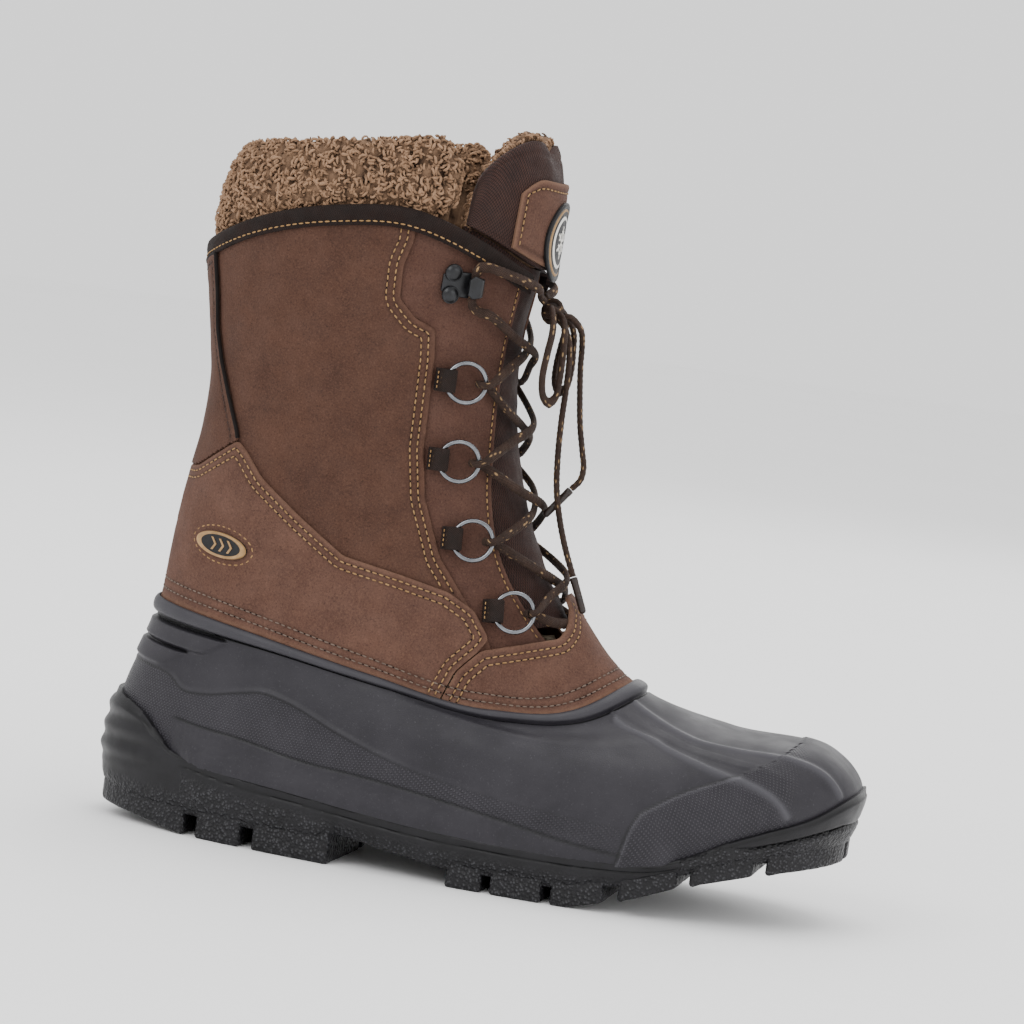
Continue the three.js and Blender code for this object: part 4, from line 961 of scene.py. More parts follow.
def search_tree(path: Array) -> "KDTree":
    """Search tree over the points of a path."""
    tree = KDTree(len(path))
    for i, p in enumerate(path):
        tree.insert(p, i)
    tree.balance()
    return tree


def side_inside(outline: Knots, x: Array, z: Array) -> Array:
    """True where side-view places lie inside a closed outline."""
    inside = np.zeros(np.shape(x), bool)
    points = list(outline)
    for (x1, z1), (x2, z2) in zip(points, points[1:] + points[:1]):
        if z1 == z2:
            continue
        crosses = (z1 > z) != (z2 > z)
        inside ^= crosses & (x < (x2 - x1) * (z - z1) / (z2 - z1) + x1)
    return inside


def edge_path(edge: Knots, side: int, step: float = 0.4) -> tuple[Array, Array]:
    """Angles and levels along a side-view line, its corners softened.

    Args:
        edge: Points of the line in side view.
        side: LATERAL or MEDIAL.
        step: Distance between the points given back.

    Returns:
        Angles and levels, without the stretch that lies off the boot.
    """
    flat = np.array([[x, 0, z] for x, z in edge], float)
    dense = evenly(flat, step)
    kernel = np.ones(9) / 9
    padded = np.concatenate([np.repeat(dense[:1], 4, 0), dense, np.repeat(dense[-1:], 4, 0)])
    soft = np.stack([np.convolve(padded[:, k], kernel, "valid") for k in range(3)], -1)
    angle, level = LAST.locate(soft[:, 0], soft[:, 2], side)
    found = LAST.surface(angle, level)
    kept = (np.abs(found[:, 0] - soft[:, 0]) < 0.6) & (np.abs(found[:, 2] - soft[:, 2]) < 0.6)
    kept &= (np.abs(angle) > 0.012) & (np.abs(angle) < math.pi - 0.004)
    return angle[kept], level[kept]


@dataclass
class LeatherPanel:
    """A panel of leather cut to a shape on the last, with soft cut edges and sewn-in seams.

    Sizes are in millimetres. `inside` tells which places belong to the panel, and `edges` are its free edges
    as angles and levels.
    """

    name: str
    node: str
    slot: str
    finish: Finish
    out: float
    inside: Callable[[Array, Array, Array, Array], Array]
    edges: list[tuple[Array, Array]]
    span: tuple[float, float]
    levels: tuple[float, float]
    seams: list[tuple[Array, Array]] = field(default_factory=list)
    thickness: float = 1.6
    cell: float = 0.85
    edge_drop: float = 0.55
    rubbed: float = 1.6
    low: Optional[Callable[[Array], Array]] = None
    worn: list[tuple[Array, Array]] = field(default_factory=list)

    def build(self) -> bpy.types.Object:
        """The panel's object."""
        middle = sum(self.levels) / 2
        turn = np.linspace(self.span[0], self.span[1], 60)
        reach = np.linalg.norm(np.diff(LAST.surface(turn, middle), axis=0), axis=-1).sum()
        climb = np.linspace(self.levels[0], self.levels[1], 60)
        height = np.linalg.norm(np.diff(LAST.surface(self.span[0] * 0.5, climb), axis=0), axis=-1).sum()
        angle = np.linspace(*self.span, round(reach / self.cell))
        bottom = self.low(angle) if self.low else np.full(len(angle), self.levels[0])
        share = np.linspace(0, 1, round(height / self.cell))[None]
        level = bottom[:, None] + share * (self.levels[1] - bottom[:, None])
        angle = np.repeat(angle[:, None], share.shape[1], 1)
        faces = grid_faces(*angle.shape)
        points = LAST.surface(angle, level).reshape(-1, 3)
        angle, level = angle.ravel(), level.ravel()
        centre = points[faces].mean(1)
        kept = self.inside(angle[faces].mean(1), level[faces].mean(1), centre[:, 0], centre[:, 2])
        faces = faces[kept]
        used, faces = np.unique(faces, return_inverse=True)
        faces = faces.reshape(-1, 4)
        angle, level, points = angle[used], level[used], points[used]
        rim = self.rim(faces)
        edge_angle = np.concatenate([a for a, _ in self.edges])
        edge_level = np.concatenate([b for _, b in self.edges])
        path = LAST.surface(edge_angle, edge_level)
        distance, nearest = distance_to(points, path)
        border = np.unique(rim)
        snap = border[distance[border] < self.cell * 2.2]
        angle[snap], level[snap] = edge_angle[nearest[snap]], edge_level[nearest[snap]]
        distance[snap] = 0
        points = LAST.surface(angle, level)
        round_off = self.edge_drop * (1 - np.sqrt(1 - np.clip(1 - distance / 1.3, 0, 1)**2))
        # the leather sinks along each row of stitches, and that groove gets painted shade
        seam = np.zeros(len(points))
        for row in self.seams:
            near, _ = distance_to(points, LAST.surface(*row))
            seam = np.maximum(seam, np.exp(-(near / 0.75)**2))
        ripple = 0.16 * noise(points, 9, 5) + 0.07 * noise(points, 3.1, 6)
        out = self.out - round_off - 0.32 * seam + ripple * np.clip(distance / 3, 0.3, 1)
        rubbed = np.clip(1 - distance / self.rubbed, 0, 1) * (0.45 + 0.35 * noise(points, 2.5, 8))
        for path in self.worn:
            near, _ = distance_to(points, LAST.surface(*path))
            rubbed = np.maximum(rubbed, np.clip(1 - near / 1.5, 0, 1) * (0.6 + 0.4 * noise(points, 1.8, 9)))
        outer, inner = LAST.skin(angle, level, out), LAST.skin(angle, level, self.out - self.thickness)
        n = len(outer)
        sides = np.stack([rim[:, 0], rim[:, 1], rim[:, 1] + n, rim[:, 0] + n], -1)
        shape = Shape()
        shape.add(np.concatenate([outer, inner]), [faces, (faces + n)[:, ::-1], sides[:, ::-1]],
                  edge=np.concatenate([np.clip(rubbed, 0, 1), np.full(n, 0.6)]),
                  seam=np.concatenate([seam * 0.45, np.zeros(n)]))
        return piece(shape.build(self.name, self.finish.material(), sharp=62), BOOT, self.slot, self.node)

    @staticmethod
    def rim(faces: Array) -> Array:
        """Edges that belong to one face only, in that face's direction."""
        edges = np.concatenate([faces[:, [k, (k + 1) % 4]] for k in range(4)])
        key = np.sort(edges, 1)
        _, index, count = np.unique(key, axis=0, return_index=True, return_counts=True)
        return edges[index[count == 1]]


# ------------------------------------------------------------------ studio

@dataclass
class Studio:
    """Camera, floor and soft light.

    Angles are in degrees, `aim` and `distance` in metres.
    """

    azimuth: float = 10.0
    height: float = 4.5
    roll: float = 7.9
    distance: float = 1.5
    aim: tuple[float, float, float] = (0.0, 0.0, 0.147)
    lens: float = 131.8
    shift: tuple[float, float] = (-3 / 1024, -5 / 1024)
    floor_radius: float = 6.0
    floor: Finish = Finish("studio_floor_paper", "#fbfbfb", "#fdfdfd", 0.85, 400, 60, 0.01)

    def build(self) -> None:
        """Makes the camera, the lights and the floor."""
        self.camera()
        self.lights()
        turn = np.arange(96) * 2 * math.pi / 96
        rim = np.stack([np.cos(turn), np.sin(turn), 0 * turn], -1) * self.floor_radius / MM
        shape = Shape().add(rim, np.arange(96)[None], closed=False)
        floor = shape.build("studio_floor", self.floor.material())

    def camera(self) -> None:
        """Camera at the viewing angle, rolled a little."""
        turn, lift, roll = (math.radians(v) for v in (self.azimuth, self.height, self.roll))
        back = Vector((math.sin(turn) * math.cos(lift), -math.cos(turn) * math.cos(lift), math.sin(lift)))
        level = Vector((math.cos(turn), math.sin(turn), 0))
        above = back.cross(level)
        right = level * math.cos(roll) + above * math.sin(roll)
        up = above * math.cos(roll) - level * math.sin(roll)
        data = bpy.data.cameras.new("studio_camera")
        data.sensor_width, data.lens = 36.0, self.lens
        data.shift_x, data.shift_y = self.shift
        data.clip_end = 100
        camera = bpy.data.objects.new("studio_camera", data)
        turned = Matrix((right, up, back)).transposed().to_4x4()
        camera.matrix_world = Matrix.Translation(Vector(self.aim) + back * self.distance) @ turned
        bpy.context.scene.collection.objects.link(camera)
        bpy.context.scene.camera = camera

    def lights(self) -> None:
        """A large soft key from the front left, a fill, a top light and a pale surround."""
        for name, place, size, power in (
            ("key_softbox", (-0.9, -1.5, 1.5), 1.3, 17), ("fill_softbox", (1.7, -1.3, 0.8), 1.4, 8),
            ("top_softbox", (0.1, 0.2, 2.0), 1.5, 15), ("back_softbox", (0.4, 1.8, 1.2), 1.5, 9)):
            data = bpy.data.lights.new(name, "AREA")
            data.shape, data.size, data.energy = "DISK", size, power
            light = bpy.data.objects.new(name, data)
            light.location = place
            aim = Vector((0, 0, 0.12)) - Vector(place)
            light.rotation_euler = aim.to_track_quat("-Z", "Y").to_euler()
            bpy.context.scene.collection.objects.link(light)
        world = bpy.data.worlds.new("studio_surround")
        world.use_nodes = True
        world.node_tree.nodes["Background"].inputs[0].default_value = (1.0, 1.0, 1.0, 1.0)
        world.node_tree.nodes["Background"].inputs[1].default_value = 1.35
        bpy.context.scene.world = world


# ------------------------------------------------------------------ hardware

QUARTER_OUT, EYESTAY_OUT, INNER_OUT, LINER_IN = -1.9, -3.8, -5.9, -11.0
GAP = 0.3
RING_PLACES = ((-20, 195), (-18.5, 164), (-9, 134), (10.5, 108))
HOOK_PLACE = (-26, 232.5)


@dataclass
class LaceRings:
    """Welded steel rings, each swinging in a folded loop of webbing."""

    radius: float = 7.8
    wire: float = 1.8
    tilt: float = 12.0
    hinge_set: float = 7.8
    wire_height: float = 3.1
    webbing_width: float = 9.0
    webbing_thickness: float = 1.0

    def hinge(self, place: tuple[float, float], side: int) -> Place:
        """Axes at the ring's rear wire."""
        return Place.on(*place, side, EYESTAY_OUT).moved((-self.hinge_set, 0, self.wire_height))

    def front(self, place: tuple[float, float], side: int) -> Array:
        """The side of the ring that the lace pulls on."""
        reach, tilt = 2 * self.radius, math.radians(self.tilt)
        return self.hinge(place, side).at((reach * math.cos(tilt), 0, reach * math.sin(tilt)))

    def ring(self, name: str, place: tuple[float, float], side: int) -> None:
        """One ring, with the small swelling of its weld at the rear."""
        turn = np.arange(72) * 2 * math.pi / 72
        section = np.arange(16) * 2 * math.pi / 16
        weld = 1 + 0.13 * np.exp(-((turn - math.pi) / 0.09)**2)
        wire = self.wire / 2 * weld[:, None]
        reach = self.radius + wire * np.cos(section)[None]
        tilt = math.radians(self.tilt)
        flat = self.radius + reach * np.cos(turn)[:, None]
        rise = reach * np.sin(turn)[:, None]
        up = wire * np.sin(section)[None]
        local = np.stack([flat * math.cos(tilt) - up * math.sin(tilt), rise,
                          flat * math.sin(tilt) + up * math.cos(tilt)], -1)
        shape = Shape().grid(self.hinge(place, side).at(local), round_rows=True, round_columns=True)
        piece(shape.build(f"ring_wire_{name}", RING_STEEL.material()), f"ring_{name}", "ring_steel",
              f"lace_ring_{name}")

    def loop(self, name: str, place: tuple[float, float], side: int) -> None:
        """One webbing loop: doubled over the wire, its legs sewn down with two rows of tan thread."""
        hinge = self.hinge(place, side)
        t = self.webbing_thickness
        low, high = 0.55 - self.wire_height, 3.05
        slot_front, slot_rear = 2.55, -1.2
        route = np.array([(-4.2, low + t / 2), (slot_rear, low + t / 2), (slot_front - 0.2, low + t / 2),
                          (slot_front + t * 0.45, low + t * 0.95), (slot_front + t / 2, 0.4),
                          (slot_front + t * 0.3, high - t * 1.15), (slot_front - 0.9, high - t * 0.55),
                          (slot_rear + 0.4, high - t * 0.55), (slot_rear - 0.9, high - t * 1.3),
                          (-3.0, low + t * 2.1), (-4.2, low + t * 1.55)])
        line3 = catmull(np.stack([route[:, 0], 0 * route[:, 0], route[:, 1]], -1), 0.3)
        along = unit(np.gradient(line3, axis=0))
        face = np.stack([-along[:, 2], 0 * along[:, 0], along[:, 0]], -1)
        across = np.linspace(-1, 1, 19)
        edge = 1 - np.clip((np.abs(across) - 0.86) / 0.14, 0, 1)**2 * 0.45
        half = self.webbing_width / 2
        outer, inner = (line3[:, None] + face[:, None] * (sign * t / 2 * 0.94 * edge)[None, :, None]
                        + np.array((0, 1, 0)) * (across * half)[None, :, None] for sign in (1, -1))
        walked = np.linspace(0, len(line3) * 0.3, len(line3))
        shape = Shape().slab(hinge.at(outer), hinge.at(inner), along=np.repeat(walked, len(across)),
                             up=np.tile(across * half, len(line3)))
        shape.values["edge"] = [np.zeros(shape.count)]
        for lean in (-2.6, -3.7):
            top = np.interp(lean, (-4.2, -3.0, slot_rear - 0.9),
                            (low + t * 2.05, low + t * 2.6, high - t * 0.8))
            row = np.stack([np.full(9, lean), np.linspace(-half + 0.8, half - 0.8, 9), np.full(9, top)], -1)
            normal = np.tile(unit(hinge.outward - 0.8 * hinge.forward), (9, 1))
            sew(shape, hinge.at(row), normal, 1.8, 1.3, 0.5, 1, 2)
        piece(shape.build(f"ring_strap_{name}", STRAP.material(), TAN_THREAD.material(),
                          NEEDLE_HOLE_SHADOW.material()), BOOT, "webbing", f"webbing_loop_{name}")

    def build(self) -> None:
        """All eight rings and loops."""
        for side_name, side in SIDES.items():
            for row, place in enumerate(RING_PLACES, 1):
                self.ring(f"{side_name}_{row}", place, side)
                self.loop(f"{side_name}_{row}", place, side)


@dataclass
class LaceHooks:
    """Bent sheet-steel speed hooks, each held by two domed rivets."""

    width: float = 10.0
    thickness: float = 1.3
    bend: float = 2.6
    flat: float = 1.25
    rivet_radius: float = 3.5
    rivet_rise: float = 4.4

    def hook(self, name: str, place: Place) -> None:
        """The plate and its curl."""
        line2 = [(-7.0, self.flat), (-3.0, self.flat), (1.0, self.flat), (4.6, self.flat)]
        for k in np.linspace(-75, 90, 12):
            a = math.radians(k)
            line2.append((6 + self.bend * math.cos(a), self.flat + self.bend * (1 + math.sin(a))))
        line2.append((2.5, self.flat + 2 * self.bend + 0.5))
        route = catmull(np.array([(x, 0, z) for x, z in line2]), 0.35)
        along = unit(np.gradient(route, axis=0))
        face = np.stack([-along[:, 2], 0 * along[:, 0], along[:, 0]], -1)
        across = np.linspace(-1, 1, 25)
        edge = 1 - 0.5 * np.clip((np.abs(across) - 0.88) / 0.12, 0, 1)**2
        walked = np.linspace(0, 1, len(route))
        ends = np.minimum(ramp(walked, -0.02, 0.10), ramp(1 - walked, -0.03, 0.10))
        half = self.width / 2 * (0.62 + 0.38 * ends) * (1 - 0.28 * ramp(walked, 0.42, 0.62)
                                                        + 0.2 * ramp(walked, 0.72, 0.95))
        outer, inner = (route[:, None] + face[:, None] * (sign * self.thickness / 2 * edge)[None, :, None]
                        + np.array((0, 1, 0)) * (half[:, None] * across[None])[..., None] for sign in (1, -1))
        shape = Shape().slab(place.at(outer), place.at(inner))
        piece(shape.build(f"speed_hook_{name}", HOOK_LACQUER.material(), sharp=70), BOOT, "hook_black",
              f"lace_hook_{name}")

    def rivet(self, name: str, place: Place, sign: int) -> None:
        """A domed rivet head with a rolled rim."""
        low = self.flat + self.thickness / 2 + GAP
        r = self.rivet_radius
        profile = [(0, -0.2), (r * 0.9, -0.2), (r, 0.1), (r, 0.5), (r * 0.94, 0.85), (r * 0.88, 0.8),
                   (r * 0.84, 0.95), (r * 0.7, 1.45), (r * 0.5, 1.8), (r * 0.25, 1.97), (0.02, 2.0)]
        turn = np.arange(40) * 2 * math.pi / 40
        radius, height = np.array(profile).T
        local = np.stack([radius[:, None] * np.cos(turn) - 3.2,
                          radius[:, None] * np.sin(turn) + sign * self.rivet_rise,
                          np.broadcast_to((height + low)[:, None], (len(profile), 40))], -1)
        shape = Shape().grid(place.at(local), round_columns=True, caps=True)
        number = 1 if sign > 0 else 2
        piece(shape.build(f"hook_stud_{name}_{number}", HOOK_LACQUER.material(), sharp=60), BOOT,
              "rivet_black", f"hook_rivet_{name}_{number}")

    def build(self) -> None:
        """Both hooks with their rivets."""
        for name, side in SIDES.items():
            place = Place.on(*HOOK_PLACE, side, EYESTAY_OUT)
            self.hook(name, place)
            for sign in (1, -1):
                self.rivet(name, place, sign)


# ------------------------------------------------------------------ lace

@dataclass
class Lace:
    """One flat braided lace, crossed up the throat, tied in a bow, its tails hanging down the front.

    Sizes are in millimetres. Routes are given from the knot's middle: forward, to the medial side, up.
    """

    diameter: float = 3.0
    width: float = 4.3
    height: float = 2.5
    knot_z: float = 227.0
    knot_out: float = 7.0
    knot_size: tuple[float, float, float] = (4.6, 6.4, 5.4)
    tip_diameter: float = 3.2
    give: float = 9.0
    rings: LaceRings = field(default_factory=LaceRings)
    hooks: LaceHooks = field(default_factory=LaceHooks)
    loop_lateral: Knots = ((3, -13, -2.5), (4, -16.5, -8), (3.5, -18.5, -16), (3, -19.5, -26), (4, -18, -33),
                           (6, -15, -35.5), (8, -12, -33), (8.5, -11, -26), (8.5, -11, -16), (8, -10.5, -9))
    loop_medial: Knots = ((3, 14, -1.5), (3, 19, -6), (1.5, 22, -14), (0.5, 23, -22), (1, 22, -29),
                          (3.5, 19, -32), (7, 16, -30), (8.5, 14, -23), (8.5, 12, -14), (8, 10.8, -8))
    tail_short: Knots = ((12, 3, -6), (13, 4.5, -12), (13.5, 4.5, -20), (15, 4, -32), (17, 3, -44),
                         (19.5, 2, -54), (21, 1, -60), (20.5, 0, -65), (17.5, -0.5, -69))
    tail_long: Knots = ((9, -4, -11), (10, -4, -17), (10.5, -4.5, -28), (10.5, -5, -42), (11, -5, -56),
                        (12.5, -5, -70), (15.5, -5, -82), (19.5, -5.5, -93), (24, -6, -103))

    def over_tongue(self, degrees: float, z: float, out: float) -> Array:
        """A point over the tongue at an angle from the front, clear of it by `out`."""
        _, level = LAST.locate(0.0, z, MEDIAL, axis=1)
        clear = INNER_OUT + self.diameter / 2 + GAP + 0.5
        return LAST.skin(math.radians(degrees), level, clear + out)[0]

    @property
    def knot_middle(self) -> Array:
        """Middle of the knot."""
        return self.over_tongue(0, self.knot_z, self.knot_out)

    def port(self, x: float, y: float, z: float) -> list[Array]:
        """Where a cord leaves the knot in a direction, and the next point of its way out."""
        direction = unit(np.array((x, y, z), float))
        reach = 1 / np.linalg.norm(direction / self.knot_size)
        return [self.knot_middle + direction * d for d in (reach + 2 * GAP, reach + 3.5)]

    def hanging(self, start: Sequence[float], route: Knots, end: Optional[Sequence[float]] = None) -> Array:
        """Route of a free cord from the knot, and back to it if an end is given."""
        points = self.port(*start) + [self.knot_middle + np.array(p, float) for p in route]
        return np.array(points + (self.port(*end)[::-1] if end else []))

    def through_ring(self, place: tuple[float, float], side: int) -> list[Array]:
        """The lace's turn through a ring, from under its free side to over it."""
        front = self.rings.front(place, side)
        axes = Place.on(*place, side, EYESTAY_OUT)
        tilt = math.radians(self.rings.tilt)
        flat = axes.forward * math.cos(tilt) + axes.outward * math.sin(tilt)
        up = axes.outward * math.cos(tilt) - axes.forward * math.sin(tilt)
        bend = (self.rings.wire / 2 + GAP + self.diameter / 2) / math.cos(math.pi / 8) + 0.2
        turns = (math.radians(d) for d in (-90, -135, 180, 135, 90))
        return [front + flat * bend * math.cos(a) + up * bend * math.sin(a) for a in turns]

    def behind_hook(self, side: int) -> list[Array]:
        """The lace's turn behind a hook's curl."""
        axes = Place.on(*HOOK_PLACE, side, EYESTAY_OUT)
        height = self.hooks.flat + self.hooks.thickness / 2 + self.diameter / 2 + GAP
        route = ((13, -10, 1.4), (9, -9.4, 0.8), (6, -7.4, 0.2), (5.2, 0, 0), (6, 7.4, 0.4), (9.5, 8.6, 1.6),
                 (13, 8, 3))
        return [axes.at((a, b, height + c)) for a, b, c in route]

    def strand(self, start: int, over: bool) -> list[Array]:
        """One strand from the bar at the lowest rings up to the knot."""
        points = []
        edge, centre = (4.4, 4.2) if over else (2.9, 0.5)
        side = start
        for row, place in enumerate(RING_PLACES[::-1]):
            z = place[1]
            above = RING_PLACES[2 - row][1] if row < 3 else HOOK_PLACE[1] - 10
            points += self.through_ring(place, side)
            for share, turn, out in ((0.3, side * 24, 4.4), (0.5, 0, centre), (0.7, -side * 24, edge)):
                points.append(self.over_tongue(turn, z + (above - z) * share, out))
            side = -side
        points += self.behind_hook(side)
        points.append(self.over_tongue(side * 19, self.knot_z + 6.5, 6.4))
        return points + self.port(-0.5, 0.75 * side, 0.6)[::-1]

    def outward(self, path: Array) -> Array:
        """Directions that the lace's flat side faces: away from the shaft."""
        return unit(np.stack([path[:, 0] + 62, path[:, 1] * 0.9, 12 + 0 * path[:, 0]], -1))

    def braid(self, path: Array, width: Optional[Array] = None,
              runs: Optional[Sequence[tuple[int, int]]] = None) -> list[Shape]:
        """A braided cord along a path, its yarns in relief.

        Args:
            path: Points of its middle, evenly spaced.
            width: Half widths along the path, if they vary.
            runs: First and last points of the lengths that it is cut into, or None for one length.

        Returns:
            One shape per length.
        """
        sides = 16
        half = self.width / 2 if width is None else width
        rings = tube_rings(path, self.outward(path), half, self.height / 2, sides)
        step = np.linalg.norm(np.diff(path, axis=0), axis=-1).mean()
        walked = np.arange(len(path))[:, None] * step
        turn = np.arange(sides)[None] / sides
        yarn = np.abs(np.sin(math.pi * (walked / 2.3 + 2 * turn))) * np.abs(np.sin(math.pi * (walked / 2.3
                                                                                     - 2 * turn)))
        middle = path[:, None]
        rings = middle + (rings - middle) * (0.9 + 0.14 * yarn)[..., None]
        around = np.broadcast_to(turn * 9.0, rings.shape[:2])
        walked = np.broadcast_to(walked, rings.shape[:2])
        return [Shape().grid(rings[a:b], round_columns=True, caps=True, along=walked[a:b], up=around[a:b])
                for a, b in runs or [(0, len(path))]]

    def tip(self, name: str, route: Array) -> bpy.types.Object:
        """Crimped acetate tip on the end of a tail."""
        along = unit(route[-1] - route[-2])
        steps = np.array([0, 0.15, 0.4, 1.2, 2.2, 2.6, 3.4, 8, 12.5, 14.0, 14.6, 14.9, 15.0])
        radius = self.tip_diameter / 2 * np.array([0.6, 0.88, 1, 1, 0.99, 0.93, 0.96, 0.94, 0.92, 0.88, 0.7,
                                                    0.4, 0.1])
        path = route[-1] + along * (GAP + steps)[:, None]
        rings = tube_rings(path, np.array((0.3, -1.0, 0.1)), radius, radius * 0.92, 24)
        shape = Shape().grid(rings, round_columns=True, caps=True)
        return piece(shape.build(f"lace_tip_{name}", TIP_PLASTIC.material()), BOOT, "aglet_plastic",
                     f"aglet_{name}")

    def free(self, name: str, node_name: str, points: Array, tip: Optional[bpy.types.Object]) -> None:
        """A free cord: a loop of the bow, or a tail with its tip."""
        path = catmull(points, 0.5)
        obj = piece(self.braid(path)[0].build(name, LACE_YARN.material()), BOOT, "lace_yarn", node_name)

    def build_free(self) -> None:
        """Both loops of the bow and both tails."""
        self.free("bow_left", "bow_loop_lateral",
                  self.hanging((0.15, -1, 0.05), self.loop_lateral, (0.75, -0.8, -0.3)), None)
        self.free("bow_right", "bow_loop_medial",
                  self.hanging((0.15, 1, 0.05), self.loop_medial, (0.75, 0.8, -0.3)), None)
        for name, route, start in (("short", self.tail_short, (1, 0.1, -0.2)),
                                   ("long", self.tail_long, (0.8, -0.25, -0.75))):
            points = self.hanging(start, route)
            self.free(f"tail_{name}", f"lace_tail_{name}", points, self.tip(name, points))

    def build_crossed(self) -> None:
        """The laced run from the bar at the lowest rings up to the knot."""
        bar = [self.over_tongue(turn, RING_PLACES[3][1] + drop, out)
               for turn, drop, out in ((-24, 0, 2.2), (0, -1, 0.8), (24, 0, 2.2))]
        points = self.strand(LATERAL, True)[::-1] + bar + self.strand(MEDIAL, False)
        path = catmull(np.array(points), 0.6)
        bends = np.array([self.rings.front(p, s) for p in RING_PLACES for s in SIDES.values()]
                         + [self.behind_hook(s)[3] for s in SIDES.values()])
        near = np.linalg.norm(path[:, None] - bends[None], axis=-1).min(1)
        owner = np.zeros(len(path), int)
        spots = [(f"{name}_{row + 1}", place, side) for name, side in SIDES.items()
                 for row, place in enumerate(RING_PLACES)]
        for number, (_, place, side) in enumerate(spots):
            away = path - self.rings.front(place, side)
            ahead = away @ Place.on(*place, side, EYESTAY_OUT).forward
            owner[(ahead < self.give) & (np.linalg.norm(away, axis=-1) < 2 * self.give)] = number + 1
        cuts = np.concatenate([[0], np.flatnonzero(np.diff(owner)) + 1, [len(path) - 1]])
        runs = [(a, b + 1) for a, b in zip(cuts, cuts[1:])]
        width = self.width / 2 - 0.75 * np.exp(-(near / 4.5)**4)
        lengths = list(zip(runs, self.braid(path, width, runs)))
        straight = Shape()
        for (a, _), length in lengths:
            if not owner[a]:
                straight.join(length)
                continue
            name, place, side = spots[owner[a] - 1]
            front, forward = self.rings.front(place, side), Place.on(*place, side, EYESTAY_OUT).forward
            obj = length.build(f"lace_bight_{name}", LACE_YARN.material())
            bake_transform(obj)
            LOG.info("%s bends between %s and ring_%s", obj.name, BOOT, name)
        piece(straight.build("lace_run", LACE_YARN.material()), BOOT, "lace_yarn", "lace_crossed")

    def build_knot(self) -> None:
        """The knot: one flat turn of lace round the others, pulled tight."""
        middle = self.knot_middle
        sx, sy, sz = self.knot_size
        shape = Shape()
        turn = np.linspace(0, 2 * math.pi, 60, endpoint=False)

        def wound(points: Array) -> None:
            """Adds one closed turn of lace."""
            path = np.concatenate([points, points[:1]])
            rings = tube_rings(path, unit(path - middle), 1.75, 1.25, 16)
            rings[-1] = rings[0]
            yarn = np.abs(np.sin(math.pi * (np.arange(61)[:, None] / 4.2 + np.arange(16)[None] / 8)))
            rings = path[:, None] + (rings - path[:, None]) * (0.9 + 0.12 * yarn)[..., None]
            shape.grid(rings[:-1], round_rows=True, round_columns=True,
                       along=np.broadcast_to(np.arange(60)[:, None] * 0.5, (60, 16)),
                       up=np.broadcast_to(np.arange(16)[None] * 0.56, (60, 16)))

        for deep, wide, tall, late, ahead, rise in ((sx - 1.2, 0.9, sz - 1.2, 0.0, 0.0, 0.0),
                                                    (sx - 1.6, sy - 1.9, 1.8, 0.5, 0.0, 0.4),
                                                    (sx - 1.7, sy - 2.1, -1.9, 0.7, 0.3, -0.5)):
            wound(middle + np.stack([deep * np.cos(turn) + ahead, wide * np.sin(turn),
                                     tall * np.sin(turn + late) + rise], -1))
        fall = np.linspace(0.03, 3.11, 14)
        core = np.stack([np.outer(np.sin(fall), np.cos(turn)), np.outer(np.sin(fall), np.sin(turn)),
                         np.outer(np.cos(fall), np.ones(60))], -1)
        shape.grid(middle + core * (sx - 1.5, sy - 1.8, sz - 1.8), round_columns=True, caps=True)
        piece(shape.build("lace_knot_tied", LACE_YARN.material()), BOOT, "lace_yarn", "lace_knot")


# ------------------------------------------------------------------ galosh and outsole

def even_angles(level: float, count: int) -> Array:
    """Angles at even distances round the last, so that the toe and heel get as many points as the sides."""
    turn = np.linspace(-math.pi, math.pi, 2001)
    walked = distances(LAST.surface(turn, level))
    return np.interp(np.linspace(0, walked[-1], count, endpoint=False), walked, turn)


def lip_distance(angle: Array) -> Array:
    """Length of the last's surface from the galosh's mouth down to the sole, per angle."""
    track = np.linspace(0, MOUTH, 200)
    points = LAST.surface(np.asarray(angle)[:, None], track[None])
    return np.linalg.norm(np.diff(points, axis=1), axis=-1).sum(1)


def rim_level(x: Array) -> Array:
    """Level where the outsole's cup ends: low along the sides, swept up round the heel and over the toe."""
    return curve(((-152, 1.0), (-147, 0.95), (-140, 0.86), (-133, 0.72), (-126, 0.46), (-119, 0.2),
                  (-108, 0.12), (60, 0.12), (88, 0.16), (96, 0.3), (105, 0.5), (118, 0.6), (136, 0.66),
                  (146, 0.88), (152, 0.97)), x)


